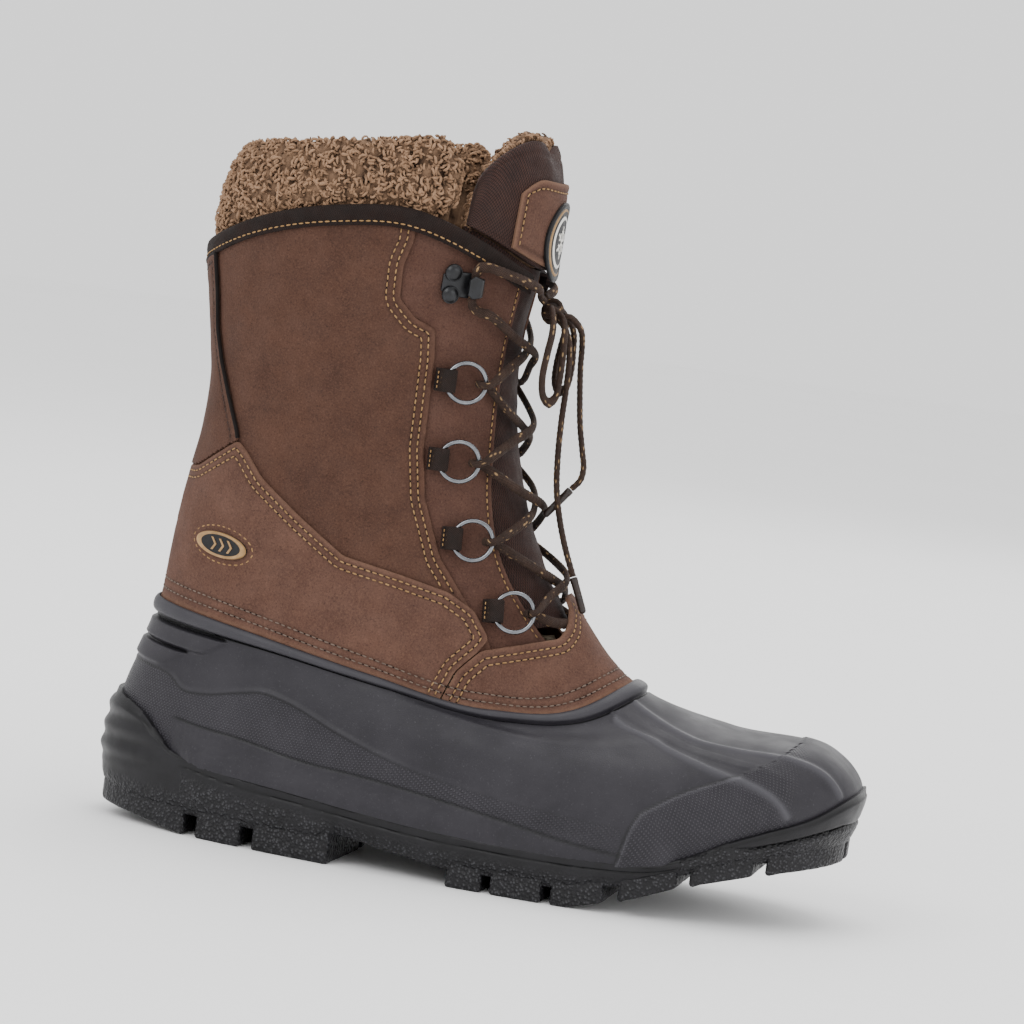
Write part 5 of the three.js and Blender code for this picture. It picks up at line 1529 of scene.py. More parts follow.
@dataclass
class Galosh:
    """Rubber galosh: rolled lip, heel ribs, knurled wall and a cross-knurled toe cap with two raised ridges.

    Lines are side-view places, ridges are degrees from the toe and levels.
    """

    columns: int = 1080
    rows: int = 120
    lip: Knots = ((7.7, 0.0), (7.3, -0.25), (6.9, -0.5), (6.6, -0.3), (6.4, 0.6), (6.1, 1.4), (5.6, 1.95),
                  (4.9, 2.3), (4, 2.42), (3, 2.4), (2, 2.25), (1.2, 1.95), (0.6, 1.6), (0.2, 1.2), (0, 0.85),
                  (0.1, 0.5), (0.5, 0.3), (2.5, 0.3), (5, 0.3))
    wave: Knots = ((-137, 65), (-123, 62), (-118, 58.5), (-109, 58), (-94, 61), (-83, 63), (-71, 61),
                   (-49, 53), (-22, 45), (7, 40), (36, 37), (72, 35))
    low_line: Knots = ((-118, 46), (-111, 45), (-89, 43), (-63, 39), (-34, 37), (-8, 34), (21, 30), (48, 26),
                       (70, 24))
    toe_cap: Knots = ((20, 67), (35, 71), (41, 74), (48, 84), (52, 91), (60, 109), (66, 120), (70, 125),
                      (76, 133))
    ridge_out: Knots = ((25, 3.86), (29, 3.78), (37, 3.29), (44, 2.61), (45, 2.18), (42, 1.79), (39, 1.38),
                        (37, 0.9))
    ridge_in: Knots = ((12, 3.9), (16, 3.83), (20, 3.59), (30, 2.98), (30, 2.48), (25, 2.08), (20, 1.6),
                       (18, 1.05))

    def ridge(self, points: Array, degrees_levels: Knots) -> Array:
        """Distance from points to a raised ridge on both sides of the toe."""
        route = catmull(np.array([(a, b * 20, 0) for a, b in degrees_levels], float), 0.7)
        path = np.concatenate([LAST.surface(side * np.radians(route[:, 0]), route[:, 1] / 20)
                               for side in SIDES.values()])
        near = np.full(points.shape[:-1], 99.0)
        zone = points[..., 0] > 30
        near[zone] = distance_to(points[zone], path)[0]
        return near

    def relief(self, angle: Array, below: Array, points: Array) -> dict[str, Array]:
        """Relief of the outer wall.

        Args:
            angle: Angles from the toe.
            below: Millimetres below the mouth.
            points: Places on the last.

        Returns:
            How far the wall stands out, and the masks that its finish reads.
        """
        x, z = points[..., 0], points[..., 2]
        turn = np.degrees(np.abs(angle))
        out = np.zeros(x.shape)
        ribs = np.zeros(x.shape)
        for middle, end, half in ((12.6, 131, 4.0), (21.6, 145, 4.0)):
            body = 1 - ramp(np.abs(below - middle), half - 1.1, half + 0.5)
            start = end + (below - middle) * 1.1
            ribs = np.maximum(ribs, body * ramp(turn, start - 0.5, start + 3.5))
        cuts = np.zeros(x.shape)
        for at, end in ((8.5, 128), (17.1, 141)):
            cuts = np.maximum(cuts, np.exp(-((below - at) / 0.55)**2) * ramp(turn, end, end + 2))
        out += 1.7 * ribs - 0.7 * cuts
        wave = curve(self.wave, x)
        fade = 1 - 0.8 * ramp(x, -70, 10)
        side = ramp(-x, -78, -60)
        out += 0.65 * fade * side * np.exp(-((z - wave) / 0.9)**2)
        under = ramp(wave - z, 0.0, 1.4) * side
        out += 0.35 * under * fade
        low = curve(self.low_line, x)
        foot = ramp(low - z, -0.4, 0.6) * side * ramp(x, -122, -116)
        low_cut = np.exp(-((z - low) / 0.6)**2) * side * ramp(x, -122, -116)
        out -= 0.45 * low_cut
        rough = lumps(points, 2.3, 4)
        out += foot * (0.25 + 0.4 * rough)
        level_foot = ramp(x, -118, -108) * ramp(-x, -92, -84)
        rise = z - LAST.surface(angle, 0.12)[..., 2]
        out += 2.1 * level_foot * (1 - ramp(rise, 0.5, 10))
        ends = [LAST.surface(*edge_path([(b, a) for a, b in self.toe_cap], s)) for s in SIDES.values()]
        inside = np.where(x > 40, distance_to(points, np.concatenate(ends))[0], 99.0)
        inside = np.where(x > line(self.toe_cap, z), inside, -inside)
        cap = ramp(inside, -0.4, 0.4)
        outer, inner = self.ridge(points, self.ridge_out), self.ridge(points, self.ridge_in)
        band = ramp(-np.abs(outer - inner), -6.0, -2.0) * ramp(12 - np.maximum(outer, inner), 0, 3)
        out += 0.7 * cap + 1.1 * np.exp(-(outer / 1.35)**2) + 1.0 * np.exp(-(inner / 1.5)**2) + 0.25 * band
        crease = np.exp(-((inside + 0.45) / 0.5)**2)
        # painted shade just under the wave's overhanging edge
        under_wave_shade = np.exp(-((z - wave + 0.75) / 0.5)**2) * side * fade
        near_ridge = np.exp(-(np.minimum(outer, inner) / 1.8)**2)
        smooth_tip = ramp(inner, 0, 3) * ramp(x, 126, 134)
        # the edge mask is a painted highlight on the toe ridges, the rims of the rib band, the wave and the toe
        # cap's rim; the last mask is painted shade in the cut lines, under the wave, along the low line and in
        # the crease by the toe cap
        return {"out": out + 0.05 * noise(points, 4, 2),
                "knurl": under * (1 - foot) * (1 - cap) * (1 - 0.35 * ramp(x, -10, 60)),
                "cross": np.clip(cap * (1 - near_ridge) * (1 - smooth_tip), 0, 1),
                "edge": np.clip(0.45 * near_ridge * (x > 55) + 0.3 * ribs * ramp(np.abs(below - 17), 7.5, 8.5)
                                + 0.04 * fade * side * np.exp(-((z - wave) / 0.9)**2)
                                + 0.35 * np.exp(-((inside - 0.5) / 0.6)**2), 0, 1),
                "seam": np.clip(0.95 * cuts + 0.8 * under_wave_shade + 0.8 * low_cut + 0.8 * crease, 0, 1)}

    def build(self) -> None:
        """The galosh's object."""
        angle = even_angles(1.5, self.columns)
        total = lip_distance(angle)
        share = np.linspace(1, 0, self.rows)[:, None]
        below = 7.9 + (total - 7.9)[None] * share
        level = LAST.level_below(angle, MOUTH, below)
        turn = np.broadcast_to(angle, level.shape)
        flat = LAST.surface(turn, level)
        masks = self.relief(turn, below, flat)
        wall = LAST.skin(turn, level, masks.pop("out"))
        depth, lip_out = (np.array(column)[:, None] + 0 * angle for column in zip(*self.lip))
        lip_out = lip_out + 0.06 * noise(
            LAST.surface(angle, 4)[None] * (1, 1, 0) + depth[..., None] * (0, 0, 1), 6, 9)
        lip = LAST.skin(angle, LAST.level_below(angle, MOUTH, depth), lip_out)
        deep = LAST.level_below(angle, MOUTH, 6.5)
        inner = np.stack([LAST.skin(angle, deep * f, -3.0) for f in (1, 0.75, 0.5, 0.25, 0.02)])
        rows = np.concatenate([wall, lip, inner])
        spare = np.zeros((len(lip) + len(inner), self.columns))
        # the lip's first rows get painted shade deep under its roll, and its outer roll a faint painted
        # highlight
        lip_shade, lip_highlight = spare.copy(), spare.copy()
        lip_shade[:3] = 1.0
        lip_highlight[6:13] = 0.16
        step = np.linalg.norm(np.diff(flat[self.rows // 2], axis=0, append=flat[self.rows // 2][:1]), axis=-1)
        along = np.broadcast_to(np.cumsum(step), rows.shape[:2])
        up = np.concatenate([-below, spare])
        values = {k: np.concatenate([v, spare]) for k, v in masks.items()}
        values["seam"][self.rows:] = lip_shade
        values["edge"][self.rows:] = lip_highlight
        shape = Shape().grid(rows, round_rows=True, round_columns=True, along=along, up=up, **values)
        piece(shape.build("galosh_shell", GALOSH.material(), sharp=75), BOOT, "galosh_rubber",
              "rubber_galosh")


@dataclass
class Outsole:
    """Cupped rubber outsole: a pebbled wall with two fine lines, heel and toe bumpers, and slanted lugs.

    Lines give heights in side view. Sizes are in millimetres.
    """

    columns: int = 1080
    rows: int = 84
    ground: Knots = ((-155, 6), (-130, 3.5), (-108, 0), (50, 0), (75, 7), (92, 14), (120, 22), (155, 29))
    base: Knots = ((-155, 13), (-130, 9), (-52, 8), (-46, 13), (0, 7), (50, 7), (75, 13), (92, 19), (120, 27),
                   (155, 35))
    lugs: Knots = ((-156, -113), (-107, -88), (-82, -50), (-1, 13), (17, 37), (41, 61), (67, 88), (93, 115),
                   (120, 156))
    channel: float = 5.0
    slant: float = 6.0

    def tread(self, angle: Array, inset: float, heights: Knots, rise: float = 0.0) -> Array:
        """Footprint points whose height follows a side-view line."""
        points = SOLE.points(angle, inset)
        points[..., 2] = line(heights, points[..., 0]) + rise
        return points

    def body(self) -> Shape:
        """The cup: wall, bumpers and the underside that the lugs stand on."""
        angle = even_angles(0.5, self.columns)
        x0 = LAST.surface(angle, 0.0)[:, 0]
        rim = rim_level(x0)
        base = self.tread(angle, 1, self.base)
        controls = [base, base, self.tread(angle, -0.6, self.base, 2.2),
                    self.tread(angle, -2.2, self.base, 5.5), LAST.skin(angle, 0.0, 3.0),
                    LAST.skin(angle, rim * 0.35, 3.0), LAST.skin(angle, rim * 0.7, 2.95),
                    LAST.skin(angle, rim, 2.7), LAST.skin(angle, rim, 2.7)]
        c = np.stack(controls)
        t = np.linspace(0, len(c) - 3, self.rows) - 1e-9
        t[0] = 0
        i = np.clip(t.astype(int), 0, len(c) - 3)
        f = (t - i)[:, None, None]
        wall = 0.5 * ((1 - f)**2 * c[i] + (1 + 2 * f - 2 * f**2) * c[i + 1] + f**2 * c[i + 2])
        around = np.roll(wall, -1, 1) - np.roll(wall, 1, 1)
        normal = unit(np.cross(around, np.gradient(wall, axis=0)))
        x, z = wall[..., 0], wall[..., 2]
        top = wall[-1, :, 2][None]
        under = top - z
        middle = ramp(x, -116, -108) * ramp(-x, -94, -86)
        heel, toe = 1 - ramp(x, -128, -114), ramp(x, 90, 100)
        lines = middle * np.exp(-((under - 3.4) / 0.42)**2)
        bulge = heel * (0.5 + 0.5 * np.cos((z - 45) / 8.4 * 2 * math.pi))
        bulge = bulge * ramp(z, 20, 26) * ramp(-x, 118, 136)
        groove_z = line(((118, 33), (130, 36.5), (143, 41), (150, 43.5)), x)
        groove = toe * np.exp(-((z - groove_z) / 0.75)**2) * ramp(x, 108, 122)
        start = np.where(x < -112, 19.0, np.where(x > 92, groove_z, top - 4.2))
        pebble = np.clip(1 - ramp(z, start - 5.0 * (1 - toe), start + 0.8 * (1 - toe)), 0, 1)
        grain = lumps(wall, 1.9, 11)
        out = (-0.6 * lines - 0.9 * groove + 1.1 * bulge + 0.42 * pebble * grain
               - 0.5 * np.exp(-(under / 0.5)**2) + 0.04 * noise(wall, 3, 3))
        wall = wall + normal * out[..., None]
        inner = [LAST.skin(angle, rim, 2.1), LAST.skin(angle, rim, 0.3), LAST.skin(angle, rim / 2, 0.3),
                 LAST.surface(angle, 0.0) - (0, 0, 0.3)]
        for inset, rise_by in ((4, -0.3), (20, -0.3), (44, -0.3)):
            floor = SOLE.points(angle, inset)
            floor[:, 2] = curve(SOLE.height, (floor[:, 0] + 1) / 151) + rise_by
            inner.append(floor)
        for inset in (44, 30, 16, 5):
            inner.append(self.tread(angle, inset, self.base))
        rows = np.concatenate([wall, np.stack(inner)])
        spare = np.zeros((len(inner), self.columns))
        mask = np.concatenate([pebble, spare])
        # painted shade in the fine lines, the toe groove, the joint under the galosh and the troughs between
        # the heel bulges
        seam = np.concatenate([np.clip(0.9 * lines + 0.85 * groove + 0.75 * np.exp(-(under / 0.5)**2)
                                       + 0.35 * heel * (1 - bulge) * ramp(z, 20, 26) * ramp(-x, 118, 136)
                                       * ramp(0.4 - bulge, 0.2, 0.4), 0, 1), spare])
        return Shape().grid(rows, round_rows=True, round_columns=True, pebble=mask, seam=seam)

    @staticmethod
    def clip(outline: Array, point: Array, normal: Array) -> Array:
        """The part of a closed outline on a line's inner side."""
        kept = []
        for a, b in zip(outline, np.roll(outline, -1, 0)):
            da, db = (a - point) @ normal, (b - point) @ normal
            if da >= 0:
                kept.append(a)
            if (da >= 0) != (db >= 0):
                kept.append(a + (b - a) * da / (da - db))
        return np.array(kept)

    def lug(self, shape: Shape, start: float, end: float, side: int) -> None:
        """Adds one lug: a slanted block with pebbled walls and rounded ground edges."""
        angle = np.linspace(0, 2 * math.pi, 720, endpoint=False)
        outline = SOLE.points(angle, -0.5)[:, :2]
        slant = min(self.slant, (end - start) / 2)
        inner = side * self.channel / 2
        outline = self.clip(outline, np.array((0.0, inner)), np.array((0.0, side)))
        far = side * 90.0
        for at, sign in ((start, 1), (end, -1)):
            along = np.array((slant, inner - far))
            across = np.array((-along[1], along[0]))
            across = across * sign * np.sign(across[0]) / np.linalg.norm(across)
            outline = self.clip(outline, np.array((at, far)), across)
        closed = np.concatenate([outline, outline[:1]])
        loop = evenly(np.concatenate([closed, np.zeros((len(closed), 1))], 1), 0.95)[:-1, :2]
        for _ in range(2):
            loop = (np.roll(loop, 1, 0) + 2 * loop + np.roll(loop, -1, 0)) / 4
        tangent = np.roll(loop, -1, 0) - np.roll(loop, 1, 0)
        area = 0.5 * (loop[:, 0] * np.roll(loop[:, 1], -1) - np.roll(loop[:, 0], -1) * loop[:, 1]).sum()
        outward = unit(np.stack([tangent[:, 1], -tangent[:, 0]], -1)) * np.sign(area)
        ground, base = line(self.ground, loop[:, 0]), line(self.base, loop[:, 0])
        rows = []
        rises = [(0.0, 1.3), (0.12, 0.7), (0.5, 0.22), (1.1, 0.0)]
        for k, (rise, inset) in enumerate(rises + [(f, 0.0) for f in np.linspace(0.15, 1, 13)]):
            z = ground + rise if k < 4 else (ground + 1.1) + rise * (base + 2.2 - ground - 1.1)
            ring = np.concatenate([loop - outward * inset, z[:, None]], 1)
            bump = 0.42 * lumps(ring, 1.9, 11) * (k > 0)
            ring[:, :2] += outward * bump[:, None]
            rows.append(ring)
        shape.grid(np.stack(rows), round_columns=True, caps=True, pebble=np.ones((len(rows), len(loop))))

    def build(self) -> None:
        """The outsole's object."""
        shape = self.body()
        for start, end in self.lugs:
            for side in SIDES.values():
                self.lug(shape, start, end, side)
        x = np.linspace(-108, 106, 60)
        floor = line(self.base, x)
        width = np.array([-5.0, 5.0])
        low = np.stack(np.broadcast_arrays(x[:, None], width[None], (floor + 0.6)[:, None]), -1)
        shape.slab(low + (0, 0, 6), low)
        piece(shape.build("outsole_tread", SOLE_RUBBER.material(), sharp=70), BOOT, "outsole_rubber",
              "outsole")


# ------------------------------------------------------------------ leather upper

QUARTER_EDGE = ((-45, 275), (-45, 247), (-48, 237), (-48, 224), (-41, 217), (-33, 214), (-32, 202),
                (-32, 167), (-29, 148), (-20, 126), (3, 97), (9, 84), (10, 50))
THROAT = ((4.3, 14), (4.6, 29), (4.9, 35), (5.3, 39), (5.75, 37), (6.1, 32), (6.5, 27), (7, 22), (8.3, 21))
VAMP_EDGE = ((-11, 50), (-11, 72), (-7, 83), (1, 92), (15, 96), (29, 100), (31, 105), (30, 111), (27, 116),
             (30, 117), (60, 117))
COUNTER_EDGE = ((-160, 143), (-127, 146), (-109, 159), (-104, 155), (-96, 146), (-77, 133), (-58, 121),
                (-34, 117), (-15, 113), (-4, 107), (3, 97))
BACKSTAY_EDGE = ((-170, 223), (-138, 225), (-134, 229), (-129, 232), (-126.5, 216), (-125, 201),
                 (-121.5, 189), (-116, 176), (-110, 163))
Path = tuple[Array, Array]


def mouth_path(above: float, low: float, high: float, step: float = 0.01) -> Path:
    """A path round the boot at a height above the galosh's mouth, between two angles."""
    angle = np.arange(low, high, step)
    return angle, LAST.level_below(angle, MOUTH, -above)


@dataclass
class Upper:
    """Nubuck upper: quarters over eyestays, with the counter, vamp and backstay laid over them."""

    seams: dict[str, list[tuple[Path, float]]] = field(default_factory=lambda: {"tan": [], "grey": [],
                                                                                "dark": []})

    def sewn(self, path: Path, distances: Sequence[float], out: float, thread: str,
             inside: Callable[[Array, Array], Array]) -> list[Path]:
        """Rows of stitches beside an edge, on the side where the panel lies."""
        rows = []
        for distance in distances:
            best = max((LAST.offset(*path, distance, flip) for flip in (1, -1)),
                       key=lambda p: inside(*p).mean())
            near, _ = distance_to(LAST.surface(*best), LAST.surface(*path))
            best = best[0][near > distance * 0.97], best[1][near > distance * 0.97]
            kept = inside(*best)
            if kept.sum() < 8:
                continue
            runs = np.split(np.arange(len(kept)), np.flatnonzero(np.diff(kept.astype(int))) + 1)
            for run in runs:
                if kept[run[0]] and len(run) > 20:
                    row = best[0][run], best[1][run]
                    rows.append(row)
                    self.seams[thread].append((row, out))
        return rows

    def quarter(self, name: str, side: int) -> None:
        """One quarter, from the lacing to where the two quarters meet at the back."""
        outline = ((-170, 275), *QUARTER_EDGE, (-170, 50))

        def inside(angle: Array, level: Array, x: Array, z: Array) -> Array:
            """Whether places belong to the quarter."""
            return side_inside(outline, x, z)

        def on_panel(angle: Array, level: Array) -> Array:
            """Whether stitches land on its open part."""
            p = LAST.surface(angle, level)
            clear = ~side_inside(((-170, 40), *COUNTER_EDGE, (40, 97), (40, 40)), p[:, 0], p[:, 2] - 1.0)
            clear &= ~side_inside((*VAMP_EDGE, (90, 117), (90, 40), (-11, 40)), p[:, 0], p[:, 2] - 1.0)
            return side_inside(outline, p[:, 0], p[:, 2]) & clear & (level < 7.86)

        edge = edge_path(QUARTER_EDGE, side)
        rows = self.sewn(edge, (2.7, 5.6), QUARTER_OUT, "tan", on_panel)
        back = np.linspace(4.6, 8, 300)
        ends = sorted((side * 0.35, side * (math.pi - 0.002)))
        LeatherPanel(f"quarter_hide_{name}", f"quarter_{name}", "nubuck_quarter", QUARTER_HIDE, QUARTER_OUT,
                     inside, [edge, (np.full(300, side * (math.pi - 0.002)), back)], tuple(ends), (4.35, 8.0),
                     rows).build()

    def eyestay(self, name: str, side: int) -> None:
        """One eyestay, under the quarter and beside the throat."""
        rear = [(x - 9, z) for x, z in QUARTER_EDGE][::-1]
        outline = (*rear, (60, 275), (60, 60))

        def inside(angle: Array, level: Array, x: Array, z: Array) -> Array:
            """Whether places belong to the eyestay."""
            return side_inside(outline, x, z) & (side * angle > np.radians(curve(THROAT, level)))

        def on_panel(angle: Array, level: Array) -> Array:
            """Whether stitches land on its open part."""
            p = LAST.surface(angle, level)
            under_vamp = side_inside((*VAMP_EDGE, (90, 117), (90, 50)), p[:, 0], p[:, 2] - 1.5)
            return inside(angle, level, p[:, 0], p[:, 2]) & ~under_vamp & (level < 7.86)

        level = np.linspace(4.3, 8.0, 500)
        throat = side * np.radians(curve(THROAT, level)), level
        rear_path = edge_path(rear, side)
        rows = self.sewn(throat, (2.4,), EYESTAY_OUT, "tan", on_panel)
        ends = sorted((side * 0.2, side * 2.3))
        LeatherPanel(f"eyestay_hide_{name}", f"eyestay_{name}", "nubuck_eyestay", EYESTAY_HIDE, EYESTAY_OUT,
                     inside, [throat, rear_path], tuple(ends), (4.3, 8.0), rows).build()

    def overlay(self, name: str, node_name: str, slot: str, finish: Finish, outline: Knots, edge: Knots,
                distances: Sequence[float], span: tuple[float, float], top: float,
                mouth: Optional[tuple[float, float]] = None, thread: str = "tan") -> list[Path]:
        """A panel over the quarters, on both sides of the boot.

        Args:
            name: The piece's name.
            node_name: The node it stands for.
            slot: The record's material slot.
            finish: Its leather.
            outline: Its closed outline in side view.
            edge: The free edge in side view.
            distances: Rows of stitches from that edge.
            span: Angles that hold the panel.
            top: Highest level of the panel.
            mouth: Angles between which it stands in the galosh's lip.
            thread: Thread of the rows.

        Returns:
            The free edge on each side.
        """
        def inside(angle: Array, level: Array, x: Array, z: Array) -> Array:
            """Whether places belong to the panel."""
            return side_inside(outline, x, z)

        def on_panel(angle: Array, level: Array) -> Array:
            """Whether stitches land on it, above the lip."""
            p = LAST.surface(angle, level)
            return side_inside(outline, p[:, 0], p[:, 2]) & (level > MOUTH + 0.01)

        edges = [edge_path(edge, side) for side in SIDES.values()]
        rows = [row for path in edges for row in self.sewn(path, distances, 0.0, thread, on_panel)]
        worn = []
        if mouth:
            for above, kind in ((4.0, "grey"), (8.0, "grey")):
                path = mouth_path(above, *mouth)
                p = LAST.surface(*path)
                kept = side_inside(outline, p[:, 0], p[:, 2])
                row = path[0][kept], path[1][kept]
                rows.append(row)
                self.seams[kind].append((row, 0.0))
            worn = [mouth_path(0.6, *mouth)]
        low = None
        if mouth:
            low = lambda turn: LAST.level_below(turn, MOUTH, 4.6)
        LeatherPanel(name, node_name, slot, finish, 0.0, inside, edges, span, (MOUTH - 0.2, top), rows,
                     low=low, worn=worn).build()
        return edges

    def counter(self) -> None:
        """Heel counter with its raised wings."""
        front = [(x - 0.6, z) for x, z in VAMP_EDGE[:4]][::-1]
        outline = (*COUNTER_EDGE, *front, (-160, 50))
        self.overlay("counter_hide", "counter_panel", "nubuck_counter", WARM_HIDE, outline,
                     (*COUNTER_EDGE, *front), (2.4, 5.2), (0.95, 2 * math.pi - 0.95), 6.4,
                     (1.2, 2 * math.pi - 1.2))

    def vamp(self) -> None:
        """Vamp over the instep; the bars that tack down its rear corner are not drawn."""
        outline = (*VAMP_EDGE, (90, 117), (90, 50))
        self.overlay("vamp_hide", "vamp_panel", "nubuck_vamp", WARM_HIDE, outline, VAMP_EDGE, (3.2, 6.0),
                     (-2.0, 2.0), 5.25, (-1.95, 1.95))

    def backstay(self) -> None:
        """Backstay up to the binding, with dark piping down its front edges."""
        foot = [(x, z + 0.6) for x, z in COUNTER_EDGE[:3]][::-1]
        outline = (*BACKSTAY_EDGE, *foot)
        edges = self.overlay("backstay_hide", "backstay", "nubuck_backstay", QUARTER_HIDE, outline,
                             (*BACKSTAY_EDGE, (-109, 159.6)), (3.4,), (math.pi - 1.15, math.pi + 1.15), 7.95,
                             thread="dark")
        shape = Shape()
        for angle, level in edges:
            kept = level < 7.72
            path = evenly(LAST.skin(angle[kept], level[kept], -0.55), 0.8)
            outward = LAST.normal(angle[kept], level[kept])
            outward = outward[np.linspace(0, len(outward) - 1, len(path)).astype(int)]
            shape.grid(tube_rings(path, outward, 0.75, 0.85, 10), round_columns=True, caps=True)
        piece(shape.build("backstay_piping", TAPE.material()), BOOT, "binding_tape")

    def stitches(self) -> None:
        """All rows of stitches on the upper."""
        threads = {"tan": TAN_THREAD, "grey": GREY_THREAD, "dark": DARK_THREAD}
        for name, rows in self.seams.items():
            shape = Shape()
            for seed, ((angle, level), out) in enumerate(rows):
                face = out - 0.30
                path, normal = LAST.skin(angle, level, face), LAST.normal(angle, level)
                walked = evenly(path, 0.8)
                share = np.linspace(0, len(normal) - 1, len(walked)).astype(int)
                sew(shape, walked, normal[share], seed=seed + 5)
            piece(shape.build(f"seams_{name}", threads[name].material(), NEEDLE_HOLE_SHADOW.material()), BOOT,
                  "nubuck_quarter")

    def build(self) -> None:
        """The whole upper."""
        for name, side in SIDES.items():
            self.quarter(name, side)
            self.eyestay(name, side)
        self.counter()
        self.vamp()
        self.backstay()


@dataclass
class Binding:
    """Folded woven tape over the shaft's top edge, sewn down with one tan row."""

    end: float = 19.0
    columns: int = 560
    section: Knots = ((-7, -0.75), (-6.7, -0.45), (-5.9, -0.3), (-5.2, -0.42), (-4.4, -0.2), (-3, -0.05),
                      (-1.2, -0.12), (0.3, -0.5), (1.1, -1.2), (1.5, -2.3), (1.5, -3.8), (1.2, -4.8),
                      (0.8, -5.25), (0.3, -5.3), (0.3, -3.6), (0.3, -1.6), (-1.5, -1.6), (-4, -1.6),
                      (-7, -1.6))

    def build(self, upper: Upper) -> None:
        """The tape, and its row of stitches given to the upper's seams."""
        end = math.radians(self.end)
        angle = np.linspace(end, 2 * math.pi - end, self.columns)
        rise, out = (np.array(column)[:, None] + 0 * angle for column in zip(*self.section))
        level = LAST.level_below(angle, TOP, -rise)
        turn = np.broadcast_to(angle, level.shape)
        out = out + 0.09 * noise(LAST.surface(turn, level), 5, 12) * (out > -1.2)
        rows = LAST.skin(turn, level, out).transpose(1, 0, 2)
        step = distances(LAST.surface(angle, float(TOP)))
        shape = Shape().grid(rows, round_columns=True, caps=True,
                             along=np.broadcast_to(step[:, None], rows.shape[:2]),
                             up=np.broadcast_to(rise.T, rows.shape[:2]))
        piece(shape.build("collar_tape", TAPE.material(), sharp=70), BOOT, "binding_tape", "collar_binding")
        row = angle[4:-4], LAST.level_below(angle[4:-4], TOP, 5.3)
        upper.seams["tan"].append((row, -0.1))


# ------------------------------------------------------------------ fleece, tongue and inside

@dataclass
class Fleece:
    """Curly knitted pile: a knobbly ground with thousands of small curls standing on it.

    Sizes are in millimetres.
    """

    knob: float = 4.0
    curl: tuple[float, float] = (1.0, 1.8)
    yarn: tuple[float, float] = (0.5, 0.75)
    seed: int = 21

    def ground(self, points: Array, normal: Array, height: float) -> tuple[Array, Array]:
        """Points raised into knobs, and how near each is to a tip: the lower a point, the more painted shade it
        gets.
        """
        knobs = lumps(points, self.knob, self.seed)
        fine = lumps(points, self.knob * 0.45, self.seed + 1)
        rise = 0.7 * knobs + 0.3 * fine
        return points + normal * ((rise - 0.55) * height)[..., None], np.clip(-0.25 + 0.85 * rise, 0, 1)

    def curls(self, shape: Shape, points: Array, normal: Array, count: int, slot: int = 0) -> None:
        """Adds curls on a grid of points.

        Args:
            shape: Shape to add to.
            points: Grid of places, rows by columns.
            normal: Outward normals there.
            count: How many curls.
            slot: Material slot.
        """
        rng = np.random.default_rng(self.seed)
        columns = points.shape[1]
        corner = points[:-1, :-1]
        cell = np.linalg.norm(np.cross(points[1:, :-1] - corner, points[:-1, 1:] - corner), axis=-1)
        chosen = rng.choice(cell.size, count, p=cell.ravel() / cell.sum())
        i, j = chosen // (columns - 1), chosen % (columns - 1)
        u, v = rng.random((2, count, 1))
        middle = (points[i, j] * (1 - u) + points[i + 1, j] * u) * (1 - v) + points[i, j + 1] * v
        out = unit(normal[i, j])
        side = unit(np.cross(out, rng.normal(size=(count, 3))))
        lean = rng.uniform(-0.9, 0.9, (count, 1))
        axis = unit(side * np.cos(lean) + out * np.sin(lean))
        first = unit(np.cross(axis, out))
        second = np.cross(axis, first)
        steps, sides = 9, 4
        sweep = rng.uniform(3.6, 6.4, (count, 1))
        start = rng.uniform(0, 6.28, (count, 1))
        t = np.linspace(0, 1, steps)[None]
        radius = rng.uniform(*self.curl, (count, 1)) * (1 - 0.35 * t)
        phase = start + sweep * t
        path = (middle[:, None] + first[:, None] * (radius * np.cos(phase))[..., None]
                + second[:, None] * (radius * np.sin(phase))[..., None]
                + axis[:, None] * ((t - 0.5) * rng.uniform(0.4, 2.2, (count, 1)))[..., None]
                + out[:, None] * rng.uniform(-0.3, 0.9, (count, 1, 1)))
        along = unit(np.gradient(path, axis=1))
        up = unit(np.cross(along, axis[:, None] + 0.01))
        across = np.cross(along, up)
        size = rng.uniform(*self.yarn, (count, 1)) * (1 - 0.55 * np.abs(2 * t - 1)**3)
        turn = np.arange(sides) * 2 * math.pi / sides
        body = (path[:, :, None] + up[:, :, None] * (size[..., None] * np.cos(turn))[..., None]
                + across[:, :, None] * (size[..., None] * np.sin(turn))[..., None])
        height = ((body - middle[:, None, None]) * out[:, None, None]).sum(-1)
        # curls get painted shade the deeper they sit in the pile, with a little random spread
        shade = np.clip(0.42 + 0.33 * height + rng.normal(0, 0.12, (count, 1, 1)), 0, 1)
        faces = grid_faces(steps, sides, round_columns=True)
        lid = np.arange(sides)[None]
        shift = (np.arange(count) * steps * sides)[:, None, None]
        ends = np.concatenate([lid[:, ::-1], lid + (steps - 1) * sides])
        shape.add(body, [(faces[None] + shift).reshape(-1, 4), (ends[None] + shift).reshape(-1, sides)], slot,
                  tip=shade)


FLEECE_PILE = Fleece()


